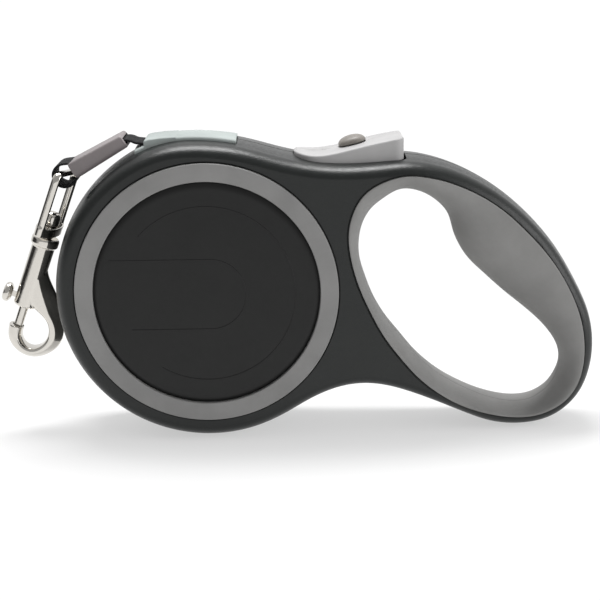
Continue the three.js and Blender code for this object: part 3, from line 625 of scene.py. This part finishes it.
def flared(name, outline, gap, face_y, flare):
    """A cutter through both faces: rounded rims, a fine gap, then a seat that grips the lining."""
    rings = [(-40, gap + flare), (-face_y, gap + flare)]
    for a in np.linspace(0, math.pi / 2, 6)[1:]:
        rings.append((-face_y + flare * math.sin(a), gap + flare * math.cos(a)))
    rings += [(-face_y + SEAT_DEPTH, gap), (-face_y + SEAT_DEPTH + 0.1, -SEAT_GRIP)]
    rings += [(-y, d) for y, d in reversed(rings)]
    return loft(name, [at_y(grown(outline, d), y) for y, d in rings])


def button_plan(half_w, x0, x1):
    """The button's outline from above: round at the front, with rounded corners at the rear."""
    turn = []
    for a in np.linspace(0, math.pi / 2, 9):
        x = x1 - BUTTON_CORNER * (1 - math.cos(a))
        turn.append((x, half_w - BUTTON_CORNER * (1 - math.sin(a))))
    steps = np.linspace(0, 1, 15)
    curve = [(x0 + BUTTON_NOSE * (1 - u) ** 2, half_w * (1 - u) * (1 + u)) for u in steps]
    side = turn + curve
    return side + [(x, -y) for x, y in reversed(side[:-1])]


def column(name, plan, z0, z1):
    plan = np.array(plan, float)
    rings = [np.column_stack([plan, np.full(len(plan), z)]) for z in (z0, z1)]
    return loft(name, rings)


def tape_z(x):
    """The height of the tape's middle line on its straight way out."""
    return OUTLET[1] - (x - OUTLET[0]) * math.tan(TAPE_SLOPE)


def corridor(name, x0, x1, below, above):
    """A cutter for the tape's way between two places, reaching below and above its line."""
    z0, z1 = tape_z(x0), tape_z(x1)
    points = [(x0, z0 - below), (x1, z1 - below), (x1, z1 + above), (x0, z0 + above)]
    return slab(name, points, -TAPE_W / 2 - GAP, TAPE_W / 2 + GAP)


def ring_recess(side):
    """The round recess that the ring and the cap sit in."""
    r = RING_R + GAP
    profile = [(0, RECESS_Y), (r, RECESS_Y), (r, FACE_Y - RIM)]
    for a in np.linspace(0, math.pi / 2, 6)[1:]:
        profile.append((r + RIM * (1 - math.cos(a)), FACE_Y - RIM + RIM * math.sin(a)))
    profile += [(r + RIM, 40), (0, 40)]
    return turned("recess", [(q, y * side) for q, y in profile], sides=200)


def strip_notch():
    """The notch that the pale strip sits in."""
    cutter = slab("notch", grown(HOUSING, 3), -STRIP_HALF_W - GAP, STRIP_HALF_W + GAP)
    cut(cutter, slab("core", grown(HOUSING, -STRIP_DEEP - GAP), -50, 50))
    return keep(cutter, block("span", (STRIP_X[0] - GAP, STRIP_X[1] + GAP), (-50, 50), STRIP_SPAN_Z))


def cavity(side):
    """The hollow of the drum, which ends in solid material at the handle and round the lining."""
    inner_face = FACE_Y - WALL
    inner = rounded_half("cavity", grown(HOUSING, -WALL), -2, inner_face, EDGE_IN, EDGE_Y, 0, side)
    cut(inner, block("solid_end", (CAVITY_END_X, FAR), (-60, 60), (-90, 90)))
    return cut(inner, slab("liner_wall", grown(LINER_OUTER, LINER_WALL), -60, 60))


def boss(at, side):
    """A screw boss, kept inside the rounded form of the shell."""
    post = rod("boss", BOSS_R, GAP / 2 * side, (FACE_Y - 1.2) * side, at)
    inside = grown(HOUSING, -GAP)
    return keep(post, rounded_half("form", inside, 0, FACE_Y - GAP, EDGE_IN, EDGE_Y, CROWN, side))


def sunk_hole(at):
    """The hole for a screw and its sunk head."""
    hole, head = SCREW_R + GAP, SCREW_HEAD_R + GAP
    mouth = head + 0.4
    profile = [(hole, -1), (hole, FACE_Y - 3.5), (head, FACE_Y - 3.5), (head, FACE_Y - 0.3)]
    profile += [(mouth, FACE_Y + 0.1), (mouth, 30)]
    return turned("sunk", profile, at, 40)


def button_window():
    x0, x1 = BUTTON_X
    return column("window", button_plan(BUTTON_Y + GAP, x0 - GAP, x1 + WINDOW_REAR_GAP), *WINDOW_Z)


def housing_half(name, side, replaced):
    """One black shell, hollow in the drum, with its recess, opening, outlet and button window."""
    shell = rounded_half(name, HOUSING, GAP / 2, FACE_Y, EDGE_IN, EDGE_Y, CROWN, side, seam=SEAM)
    cut(shell, cavity(side), ring_recess(side), strip_notch(), corridor("way_out", -60, 0, 0.8, 6))
    for at in SCREWS.values():
        join(shell, boss(at, side))
    cut(shell, flared("opening", LINER_OUTER, GAP, FACE_Y, RIM))
    if side > 0:
        cut(shell, *[sunk_hole(at) for at in SCREWS.values()])
    thinned(sliced(shell, range(THIN_FROM, THIN_TO + 2, 2)))
    cut(shell, button_window())
    finished(shell, SHELL, "housing", "shell", replaced, angle=35)


housing_half("near_shell", -1, "shell_near")
housing_half("far_shell", 1, "shell_far")


def grip_half(name, side, replaced):
    """Half of the soft lining: a flat lip beside the shell, then a full curve down to the seam."""
    raised = FACE_Y + LIP_PROUD
    shoulder = raised - 0.02
    section = [(0, GAP / 2), (0, FACE_Y - 0.35), (0.004, FACE_Y), (0.02, raised - 0.03)]
    section += [(0.05, raised), (LIP, shoulder)]
    for a in [math.pi / 2 * k / 24 for k in range(1, 25)]:
        section.append((LIP + (1 - LIP) * math.sin(a), max(shoulder * math.cos(a), GAP / 2)))
    across = LINER_CREST - LINER_OUTER
    rings = [at_y(LINER_OUTER + across * share, y * side) for share, y in section]
    liner = loft(name, rings, ring_closed=True)
    finished(thinned(liner), GRIP, "housing", "grip", replaced, angle=50)


grip_half("near_grip", -1, "grip_liner_near")
grip_half("far_grip", 1, "grip_liner_far")


def trim_ring(name, side, replaced):
    """The grey ring, with its two upper edges rounded."""
    inner, outer, base = DISC_R + GAP, RING_R, RECESS_Y + GAP
    turn = np.linspace(0, math.pi / 2, 5)
    corner = [(RIM * (1 - math.cos(a)), RIM * (1 - math.sin(a))) for a in turn]
    profile = [(inner, base), (outer, base)]
    profile += [(outer - a, TRIM_Y - b) for a, b in corner]
    profile += [(inner + a, TRIM_Y - b) for a, b in reversed(corner)]
    ring = annulus(name, [(q, y * side) for q, y in profile])
    finished(ring, TRIM, "housing", "trim", replaced, angle=40)


trim_ring("near_trim_ring", -1, "trim_ring_near")
trim_ring("far_trim_ring", 1, "trim_ring_far")


def disc_y(r):
    """The cap's face: a low dome inside a sloping rim."""
    flat_r = DISC_R - CAP_RIM
    if r > flat_r:
        return DISC_Y - CAP_DOME - CAP_DROP * (r - DISC_R + CAP_RIM) / CAP_RIM
    return DISC_Y - CAP_DOME * (r / flat_r) ** 2


def raised_line(name, path, side):
    """A fine rounded line standing on the cap's face along an open [x, z] path."""
    points = [(x, side * (disc_y(math.hypot(x, z)) - LINE_SUNK), z) for x, z in path]
    return swept(name, points, round_section(LINE_R, 8), Vector((0, 1, 0)))


def slot_path():
    """The outline of a slot, open on the left and round on the right."""
    half = SLOT_LINE_HALF
    upper_x, lower_x, end_x = SLOT_LINE_X
    path = [(x, half) for x in np.linspace(upper_x, end_x, 24)]
    path += [circle_point(half, a, (end_x, 0)) for a in np.linspace(90, -90, 40)][1:-1]
    return path + [(x, -half) for x in np.linspace(end_x, lower_x, 20)]


def side_disc(name, side, replaced):
    """The black cap, with a large open circle and a round-ended slot line standing on it."""
    base = RECESS_Y + GAP
    profile = [(0, base), (DISC_R, base)] + [(r, disc_y(r)) for r in reversed(CAP_STEPS)]
    disc = turned(name, [(r, y * side) for r, y in profile], sides=160)
    circle = [circle_point(CIRCLE_LINE_R, a) for a in np.linspace(*CIRCLE_LINE_ARC, 110)]
    join(disc, raised_line("circle_line", circle, side), raised_line("slot_line", slot_path(), side))
    finished(disc, DISC, "housing", "disc", replaced, angle=40)


side_disc("near_disc", -1, "side_disc_near")
side_disc("far_disc", 1, "side_disc_far")


def screw(name, at):
    """A sunk-headed screw with a cross recess, driven from the far side."""
    top, seat = FACE_Y - 1.4, FACE_Y - 3.2
    profile = [(0, -11), (SCREW_R, -10.4), (SCREW_R, seat), (SCREW_HEAD_R, seat)]
    profile += [(SCREW_HEAD_R, top - 0.5), (SCREW_HEAD_R - 0.3, top - 0.15)]
    profile += [(SCREW_HEAD_R - 0.9, top), (0, top)]
    made = turned(name + "_fine", profile, at, 40)
    centre = Matrix.Translation((at[0], 0, at[1]))
    for turn in (20, 110):
        bar = block("bar", (-1.5, 1.5), (top - 1.1, top + 1), (-0.3, 0.3))
        cut(made, moved(bar, centre @ Matrix.Rotation(math.radians(turn), 4, "Y")))
    finished(made, STEEL, "housing", "steel", name, angle=35)


for screw_name, screw_at in SCREWS.items():
    screw(screw_name, screw_at)


def strip_section():
    """Across the strip, as [y, height above the housing]: rounded edges and a slight crown."""
    r = STRIP_EDGE
    flat = STRIP_HALF_W - r
    turn = np.linspace(math.pi / 2, 0, 6)
    edge = [(flat + r * math.sin(a), STRIP_PROUD - r + r * math.cos(a)) for a in turn]
    across = np.linspace(flat, -flat, 13)[1:-1]
    crown = [(y, STRIP_PROUD + STRIP_CROWN * (1 - (y / flat) ** 2)) for y in across]
    other = [(-y, h) for y, h in reversed(edge)]
    return [(STRIP_HALF_W, -STRIP_DEEP)] + edge + crown + other + [(-STRIP_HALF_W, -STRIP_DEEP)]


def outlet_strip():
    """The pale strip on the drum's crown, with a hood over its mouth, open for the tape."""
    x0, x1 = STRIP_X
    under = [p for p in HOUSING if x0 - 3 < p[0] < x1 + 3 and p[1] > STRIP_SPAN_Z[0]]
    line = resample(np.array(sorted(under, key=lambda p: p[0])), 60, closed=False)
    normal = -normals_of(line, closed=False)
    section = strip_section()
    rings = [[(x + nx * h, y, z + nz * h) for y, h in section] for (x, z), (nx, nz) in zip(line, normal)]
    strip = loft("outlet", rings)
    keep(strip, block("span", STRIP_X, (-50, 50), STRIP_SPAN_Z))
    join(strip, bevelled(slab("hood", HOOD, -STRIP_HALF_W, STRIP_HALF_W), 0.6, 4, 25))
    room = TAPE_T / 2 + GAP
    cut(strip, corridor("under", MOUTH_X, x1 + 1, 4, room), corridor("mouth", x0 - 5, MOUTH_X, room, 6))
    finished(bevelled(strip, 0.25, 3, 40), OUTLET_GREY, "housing", "outlet", "outlet_strip", angle=35)



outlet_strip()


# ---- Tape and sleeve ---------------------------------------------------------------------------
HIDDEN_END_X = 12.4
BEND_FROM = (-23.6, (-26.3, 52.4), (-29.6, 50.5))  # start x, corner and end of the bend
LOOP_ARC = (62, 298)


def sleeve_axis():
    """The sleeve's direction, from the eye to the middle of its upper end."""
    upper = (Vector(SLEEVE_SIDE[2]) + Vector(SLEEVE_SIDE[3])) / 2
    return (upper - Vector(EYE)).normalized()


def bent(start, corner, end, count):
    """A curve from start to end that heads for corner, without its first point."""
    p0, p1, p2 = Vector(start), Vector(corner), Vector(end)
    steps = np.linspace(0, 1, count)[1:]
    return [tuple(p0 * (1 - t) ** 2 + p1 * 2 * t * (1 - t) + p2 * t * t) for t in steps]


def tape_route():
    """The tape's middle line: under the strip, out, down the sleeve, round the eye and back."""
    along = sleeve_axis()
    eye = Vector(EYE)
    lift = Vector((-along.y, along.x)) * (TAPE_T / 2 + LAYER_GAP)
    last_x = BEND_FROM[0]
    start = [(x, tape_z(x)) for x in np.linspace(HIDDEN_END_X, last_x, 40)]
    bend = bent((last_x, tape_z(last_x)), *BEND_FROM[1:], 14)
    down = [tuple(eye + along * s + lift) for s in np.linspace(20, 9, 12)]
    heading = math.degrees(math.atan2(along.y, along.x))
    turns = np.linspace(*LOOP_ARC, 40)
    loop = [circle_point(LOOP_R + TAPE_T / 2, heading + a, EYE) for a in turns]
    back = [tuple(eye + along * s - lift) for s in np.linspace(9, 18, 10)]
    line = resample(np.vstack([start, bend, down, loop, back]), 320, closed=False)
    for _ in range(6):
        line[1:-1] = (line[:-2] + 2 * line[1:-1] + line[2:]) / 4
    return line


def ribbon(name, line, half_w, thickness):
    """A strip along an [x, z] line, with rounded edges and a map of mm along and across it."""
    normal = normals_of(line, closed=False)
    r = thickness / 2
    ys = np.linspace(-half_w + r, half_w - r, 14)
    turn = np.radians([60, 30, 0, -30, -60])
    section = [(y, r) for y in ys]
    section += [(half_w - r + r * math.cos(a), r * math.sin(a)) for a in turn]
    section += [(y, -r) for y in reversed(ys)]
    section += [(-half_w + r - r * math.cos(a), r * math.sin(a)) for a in reversed(turn)]
    rings = [[(x + nx * h, y, z + nz * h) for y, h in section] for (x, z), (nx, nz) in zip(line, normal)]
    made = loft(name, rings)
    steps = np.concatenate([[0], np.cumsum(np.linalg.norm(np.diff(line, axis=0), axis=1))])
    return made, steps


def map_ribbon(obj, line, steps):
    """Writes each corner's place along the line and across it, in mm, as the ribbon's map."""
    layer = obj.data.uv_layers.new(name="strip")
    for loop in obj.data.loops:
        co = obj.data.vertices[loop.vertex_index].co
        nearest = int(np.argmin((line[:, 0] - co.x) ** 2 + (line[:, 1] - co.z) ** 2))
        layer.data[loop.index].uv = (steps[nearest], co.y)


def tape_piece():
    line = tape_route()
    made, steps = ribbon("tape_strip", line, TAPE_W / 2, TAPE_T)
    map_ribbon(made, line, steps)
    finished(made, TAPE, "tape", "tape", "tape_end", angle=50)


tape_piece()


SLEEVE_ENDS = [(0, 0.7), (0.012, 0.2), (0.035, 0), (0.965, 0), (0.988, 0.2), (1, 0.7)]


def sleeve_section(height):
    """A rounded rectangle across the sleeve, as [y, height above its underside]."""
    half, low_r, top_r = SLEEVE_W / 2, SLEEVE_LOW_R, SLEEVE_TOP_R
    quarter = np.linspace(0, math.pi / 2, 7)
    right = [(half - low_r + low_r * math.sin(a), low_r * (1 - math.cos(a))) for a in quarter]
    for a in quarter:
        right.append((half - top_r + top_r * math.cos(a), height - top_r * (1 - math.sin(a))))
    return right + [(-y, h) for y, h in reversed(right)]


def sleeve_piece():
    """The moulded sleeve: a tapered bar with a slot through it for both layers of tape."""
    top_low, low, low_end, top_end = [np.array(p) for p in SLEEVE_SIDE]
    rings = []
    for t, inset in SLEEVE_ENDS:
        under, over = low + (low_end - low) * t, top_low + (top_end - top_low) * t
        height = float(np.linalg.norm(over - under))
        up = (over - under) / height
        pinch = 1 - 2 * inset / SLEEVE_W
        ring = []
        for y, h in sleeve_section(height - 2 * inset):
            x, z = under + up * (h + inset)
            ring.append((x, y * pinch, z))
        rings.append(ring)
    bar = loft("sleeve", rings)
    along = sleeve_axis()
    slot_y, slot_z = SLEEVE_SLOT
    slot = block("slot", (-10, 60), (-slot_y, slot_y), (-slot_z, slot_z))
    turn = Matrix.Rotation(-math.atan2(along.y, along.x), 4, "Y")
    moved(slot, Matrix.Translation((EYE[0], 0, EYE[1])) @ turn)
    finished(cut(bar, slot), SLEEVE, "tape", "sleeve", "tape_sleeve", angle=35)



sleeve_piece()


# ---- Button and lock ---------------------------------------------------------------------------
BUTTON_TOP = [
    (29, 47.3), (32.5, 46.4), (36, 45.85), (40, 45.75), (45.6, 46.7), (51.8, 48.25), (59.7, 50),
    (70, 51.8),
]
BUTTON_UNDER = [(28, 41.4), (40, 41.4), (50, 42.3), (60, 43.2), (70, 44.1)]


def button_solid():
    """Rings from the underside up the wall, round the upper edge and in to the middle."""
    plan = resample(np.array(button_plan(BUTTON_Y, *BUTTON_X)), 180)
    top, under = smooth_line(BUTTON_TOP, 80), smooth_line(BUTTON_UNDER, 20, passes=0)

    def ring(inset, share, line, lift):
        points = grown(plan, -inset) * (1, share)
        heights = np.interp(points[:, 0], line[:, 0], line[:, 1]) + lift
        return np.column_stack([points, heights])

    rings = [ring(0, share, under, 0) for share in (0.02, 0.5, 1)]
    for a in np.linspace(0, math.pi / 2, 7):
        rings.append(ring(BUTTON_EDGE * (1 - math.cos(a)), 1, top, BUTTON_EDGE * (math.sin(a) - 1)))
    for share in (0.93, 0.85, 0.75, 0.6, 0.45, 0.3, 0.15, 0.02):
        rings.append(ring(BUTTON_EDGE, share, top, BUTTON_CROWN * (1 - share**2)))
    return loft("button", rings)


def button_piece():
    """The thumb button: a scooped top rising to the rear over a body that fits its window."""
    body = button_solid()
    join(body, rod("knuckle", KNUCKLE_R, -KNUCKLE_Y, KNUCKLE_Y, PIVOT))
    join(body, block("web", (PIVOT[0] - 1.6, PIVOT[0] + 1.6), (-5, 5), (PIVOT[1], 42)))
    cut(body, rod("bore", PIN_BORE_R, -30, 30, PIVOT))
    cut(body, block("stem_slot", (47.4, 55.3), (-2.3, 2.3), (40, 60)))
    finished(body, BUTTON_GREY, "button", "button", "brake_button", angle=35)



button_piece()


def lock_piece():
    """The lock's knob: a rounded bump across the button, on a stem."""
    fullness, roundness = 2.6, 0.88
    rings = []
    for y in LOCK_HALF_W * np.sin(np.linspace(-1.5, 1.5, 31)):
        f = (1 - abs(y / LOCK_HALF_W) ** fullness) ** (1 / fullness)
        arch = np.linspace(0, math.pi, 36)
        ring = [(LOCK_HALF * f * math.cos(t), y, LOCK_H * f * math.sin(t) ** roundness) for t in arch]
        rings.append(ring)
    knob = loft("lock", rings)
    join(knob, block("stem", (0, 2.6), (-2, 2), (-5.2, 0.5)))
    join(knob, block("foot", (-0.9, 2.6), (-2, 2), (-5.9, -5)))
    place = Matrix.Translation((LOCK_AT[0], 0, LOCK_AT[1])) @ Matrix.Rotation(-LOCK_SLOPE, 4, "Y")
    finished(moved(knob, place), LOCK_GREY, "lock", "lock", "lock_knob", angle=40)



lock_piece()


# ---- Snap hook ---------------------------------------------------------------------------------
def eye_piece():
    """The stirrup eye: one band bent over the top and down both sides, on a drilled foot."""
    half, corner = EYE_HALF_W, EYE_CORNER
    inner = half - corner
    turn = np.linspace(0, math.pi / 2, 14)
    path = [(0, -half, z) for z in np.linspace(EYE_FOOT_Z, -corner, 30)]
    path += [(0, -inner - corner * math.cos(a), -corner + corner * math.sin(a)) for a in turn][1:]
    path += [(0, y, 0) for y in np.linspace(-inner, inner, 20)][1:-1]
    path += [(0, inner + corner * math.sin(a), -corner + corner * math.cos(a)) for a in turn]
    path += [(0, half, z) for z in np.linspace(-corner, EYE_FOOT_Z, 30)][1:]
    eye = swept("eye", path, band_section(*EYE_BAND), Vector((1, 0, 0)))
    foot_x, foot_y, foot_low, foot_top = EYE_FOOT
    a = np.linspace(0, 2 * math.pi, 48, endpoint=False)
    oval = np.column_stack([foot_x * np.cos(a), foot_y * np.sin(a)])
    join(eye, column("plate", oval, foot_low, foot_top))
    melted(eye, 0.28, 5)
    cut(eye, turned_up("hole", [(STUD_BORE_R, -30), (STUD_BORE_R, -10)], 40))
    moved(eye, Matrix.Rotation(EYE_TWIST, 4, "Z"))
    finished(eye, CHROME, "eye", "chrome", "swivel_eye", angle=40, place=HOOK_PLACE)



eye_piece()


# Radius and height, from the lower end up to the domed head.
STUD_PROFILE = [
    (0, -29), (1.9, -29), (1.9, -19.3), (2.6, -19.25), (2.8, -19), (2.85, -16.4), (2.6, -15.6),
    (2.1, -15), (1.2, -14.6), (0, -14.45),
]


def stud_piece():
    stud = turned_up("stud", STUD_PROFILE)
    finished(stud, CHROME, "hook", "chrome", "swivel_stud", angle=40, place=HOOK_PLACE)



stud_piece()

# Each station of the cast body: inner x, z and outer x, z, from the barrel round to the tip.
HOOK_STATIONS = [
    (-1, -30, 2.5, -29.5), (-1, -35, 3.4, -33.5), (-1, -39, 4.5, -36.8), (-0.5, -43, 6.9, -39.8),
    (0.4, -46.4, 9.4, -42.4), (2, -48.8, 11.6, -45.6), (4.6, -50.2, 13.4, -48.9), (7.4, -51.2, 15, -52),
    (9.6, -53, 16.1, -54.8), (11, -55.6, 16.5, -57.6), (11.3, -58.4, 16, -60.4), (10.6, -61, 14.4, -63.4),
    (9, -63, 11.8, -65.9), (6.9, -64, 8.4, -67.6), (4.9, -63.6, 4.6, -67.7), (3.3, -62.3, 1, -66.3),
    (2.5, -60.8, -1.6, -64), (2.2, -59.4, -2.8, -61.3), (2.2, -57.7, -3.2, -57.9),
]
# Half of its section: place from the inner to the outer edge, and share of the half thickness.
RIDGED = [
    (0, 0), (0, 0.45), (0.03, 0.74), (0.1, 0.93), (0.2, 1), (0.46, 1), (0.54, 0.95), (0.76, 0.64),
    (0.93, 0.36), (0.985, 0.2), (1, 0),
]
ROUND = [(0.5 - 0.5 * math.cos(a), math.sin(a)) for a in np.linspace(0, math.pi, len(RIDGED))]
# Radius and height, from the barrel's lower end up to its collar.
BARREL_PROFILE = [
    (0, -50.2), (3.7, -50.2), (4.1, -49.8), (4.1, -27.4), (4.4, -27.2), (4.8, -26.9), (4.9, -26.5),
    (4.9, -24.8), (4.7, -24.2), (4.3, -23.8), (0, -23.8),
]
BOLT_PROFILE = [(0, -59.6), (1.3, -59.6), (1.6, -59.3), (1.6, -41.2), (1.4, -41), (0, -41)]
# Radius and height of the thumb knob above the stem's end.
THUMB_PROFILE = [
    (0, 0), (1.9, 0), (2.3, 0.15), (3.2, 0.8), (3.45, 1.1), (3.5, 1.6), (3.35, 2.4), (2.9, 2.9),
    (2, 3.2), (0, 3.35),
]


def blended(first, second, w):
    """Each pair of numbers moved from first to second by the share w."""
    return [(a * (1 - w) + c * w, b * (1 - w) + d * w) for (a, b), (c, d) in zip(first, second)]


def hook_bend():
    """The flat side and the bend of the hook, ridged at the barrel and round at the tip."""
    stations = smooth_line(HOOK_STATIONS, 90, passes=8)
    rings = []
    for k, (ix, iz, ox, oz) in enumerate(stations):
        w = min(max((k / len(stations) - ROUND_FROM) / ROUND_OVER, 0), 1)
        half = blended(RIDGED, ROUND, w)
        section = [(share, -h) for share, h in half] + [(share, h) for share, h in half[-2:0:-1]]
        ring = [(ix + (ox - ix) * share, HOOK_HALF_T * h, iz + (oz - iz) * share) for share, h in section]
        rings.append(ring)
    return loft("hook", rings)


def hook_piece():
    """The cast body: collar, slotted barrel and bend, run together and drilled for the bolt."""
    body = join(hook_bend(), turned_up("barrel", BARREL_PROFILE, 64))
    melted(body, 0.22, 5)
    cut(
        body,
        turned_up("stud_bore", [(STUD_BORE_R, -29.3), (STUD_BORE_R, -20)]),
        turned_up("bolt_bore", [(BOLT_BORE_R, -52), (BOLT_BORE_R, -30.8)]),
        turned_up("bolt_seat", [(BOLT_BORE_R, -60), (BOLT_BORE_R, -57)]),
        block("stem_slot", (-7, 0), (-1.25, 1.25), (-49.3, -36.6)),
    )
    finished(body, CHROME, "hook", "chrome", "hook_body", angle=40, place=HOOK_PLACE)


hook_piece()


def bolt_pieces():
    """The bolt with its stem, and the knob on the stem's end."""
    head_x, head_z = STEM_HEAD
    bolt = turned_up("bolt", BOLT_PROFILE)
    join(bolt, block("stem", (head_x, 0), (-0.9, 0.9), (head_z - 0.8, head_z + 0.8)))
    finished(bolt, CHROME, "plunger", "chrome", "plunger_rod", angle=35, place=HOOK_PLACE)
    knob = turned_up("thumb", THUMB_PROFILE)
    moved(knob, Matrix.Translation((head_x, 0, head_z)) @ Matrix.Rotation(-math.pi / 2, 4, "Y"))
    finished(knob, CHROME, "plunger", "chrome", "thumb_knob", angle=40, place=HOOK_PLACE)



bolt_pieces()

# ---- CAD pieces that show as they are ------------------------------------------------------------
INNER_LOOKS = {
    "spool": NYLON, "spring_cup": NYLON, "spring_cover": NYLON, "guide_roller": NYLON, "brake_pawl": NYLON,
    "axle_post": STEEL, "spiral_spring": STEEL, "roller_pin": STEEL, "button_pin": STEEL,
    "button_spring": STEEL, "plunger_spring": STEEL, "wound_tape": TAPE_ROLL, "tape_lead": TAPE_ROLL,
}
for node, look in INNER_LOOKS.items():
    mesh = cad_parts[node].data
    mesh.materials.clear()
    mesh.materials.append(look)


# ---- Studio --------------------------------------------------------------------------------------
FLOOR_SIZE, FLOOR_BELOW = 6, 0.0001
FLOOR_STRETCH = (0.75, 1.5, 0)
FLOOR_FADE = (0.1, 0.3, 0.5, 1)  # metres from and to, share of even light from and to
FLOOR_GLOW = 1.03
WORLD_SPAN, WORLD_FRONT, WORLD_BACK = (-0.6, 0.8), 0.5, 1.15
FLAG_SPAN, FLAG_LEFT = (-0.97, -0.82), 0.06
LENS, SENSOR = 84, 36
CAMERA_AT = (-0.00534, -0.48084, 0.17301)
CAMERA_TARGET = (0.00048, -0.019, 0.05068)
CAMERA_ROLL = math.radians(-0.8)


def studio_floor():
    """A white sweep: lit paper close to the object, and evenly bright further away."""
    low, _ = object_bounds()
    r, z = FLOOR_SIZE, min(low.z, 0) - FLOOR_BELOW
    mesh = bpy.data.meshes.new("floor")
    mesh.from_pydata([(-r, -r, z), (r, -r, z), (r, r, z), (-r, r, z)], [], [(0, 1, 2, 3)])
    floor = bpy.data.objects.new("floor", mesh)
    bpy.context.scene.collection.objects.link(floor)
    look = Look("pale_floor", (0.8, 0.8, 0.8), 0.9, specular=0.1)
    stretch = look.node("ShaderNodeVectorMath")
    stretch.operation = "MULTIPLY"
    look.links.new(look.coords, stretch.inputs[0])
    stretch.inputs[1].default_value = FLOOR_STRETCH
    distance = look.node("ShaderNodeVectorMath")
    distance.operation = "LENGTH"
    look.links.new(stretch.outputs[0], distance.inputs[0])
    fade = look.node("ShaderNodeMapRange", Value=distance.outputs["Value"])
    fade.interpolation_type = "SMOOTHSTEP"
    set_range(fade, *FLOOR_FADE)
    glow = look.node("ShaderNodeEmission", Strength=FLOOR_GLOW)
    mix = look.node("ShaderNodeMixShader")
    look.links.new(fade.outputs["Result"], mix.inputs[0])
    look.links.new(look.shader.outputs[0], mix.inputs[1])
    look.links.new(glow.outputs[0], mix.inputs[2])
    look.links.new(mix.outputs[0], look.nodes["Material Output"].inputs["Surface"])
    floor.data.materials.append(look.material)


def area_light(name, size, position, target, radiance):
    """A soft box of the given size and brightness."""
    data = bpy.data.lights.new(name, "AREA")
    data.shape = "RECTANGLE"
    data.size, data.size_y = size
    data.energy = radiance * math.pi * size[0] * size[1]
    light = bpy.data.objects.new(name, data)
    light.location = position
    light.rotation_euler = (Vector(target) - Vector(position)).to_track_quat("-Z", "Y").to_euler()
    bpy.context.scene.collection.objects.link(light)
    return light


def studio_world():
    """White for the camera; for light, a dome bright behind, dim in front and dark at the left."""
    world = bpy.data.worlds.new("studio")
    bpy.context.scene.world = world
    world.use_nodes = True
    nodes, links = world.node_tree.nodes, world.node_tree.links
    nodes.clear()
    coords = nodes.new("ShaderNodeTexCoord")
    split = nodes.new("ShaderNodeSeparateXYZ")
    links.new(coords.outputs["Generated"], split.inputs[0])

    def ramp(axis, *limits):
        made = nodes.new("ShaderNodeMapRange")
        made.interpolation_type = "SMOOTHSTEP"
        set_range(made, *limits)
        links.new(split.outputs[axis], made.inputs["Value"])
        return made.outputs["Result"]

    strength = nodes.new("ShaderNodeMath")
    strength.operation = "MULTIPLY"
    links.new(ramp("Y", *WORLD_SPAN, WORLD_FRONT, WORLD_BACK), strength.inputs[0])
    links.new(ramp("X", *FLAG_SPAN, FLAG_LEFT, 1), strength.inputs[1])
    dome = nodes.new("ShaderNodeBackground")
    links.new(strength.outputs[0], dome.inputs["Strength"])
    seen = nodes.new("ShaderNodeBackground")
    seen.inputs["Color"].default_value = (1, 1, 1, 1)
    seen.inputs["Strength"].default_value = 1.0
    path = nodes.new("ShaderNodeLightPath")
    mix = nodes.new("ShaderNodeMixShader")
    links.new(path.outputs["Is Camera Ray"], mix.inputs[0])
    links.new(dome.outputs[0], mix.inputs[1])
    links.new(seen.outputs[0], mix.inputs[2])
    out = nodes.new("ShaderNodeOutputWorld")
    links.new(mix.outputs[0], out.inputs["Surface"])


def camera():
    data = bpy.data.cameras.new("camera")
    data.lens = LENS
    data.sensor_width = SENSOR
    data.clip_start, data.clip_end = 0.01, 50
    cam = bpy.data.objects.new("camera", data)
    bpy.context.scene.collection.objects.link(cam)
    aim = (Vector(CAMERA_TARGET) - Vector(CAMERA_AT)).to_track_quat("-Z", "Y")
    cam.rotation_mode = "QUATERNION"
    cam.rotation_quaternion = aim @ Matrix.Rotation(CAMERA_ROLL, 4, "Z").to_quaternion()
    cam.location = CAMERA_AT
    bpy.context.scene.camera = cam


studio_world()
studio_floor()
area_light("top_softbox", (0.5, 0.24), (-0.06, 0.16, 0.8), (0, 0, 0.1), 17)
area_light("side_fill", (0.6, 0.6), (0.85, -0.35, 0.3), (0, 0, 0.05), 3)
camera()
bpy.context.scene.view_settings.view_transform = "Standard"
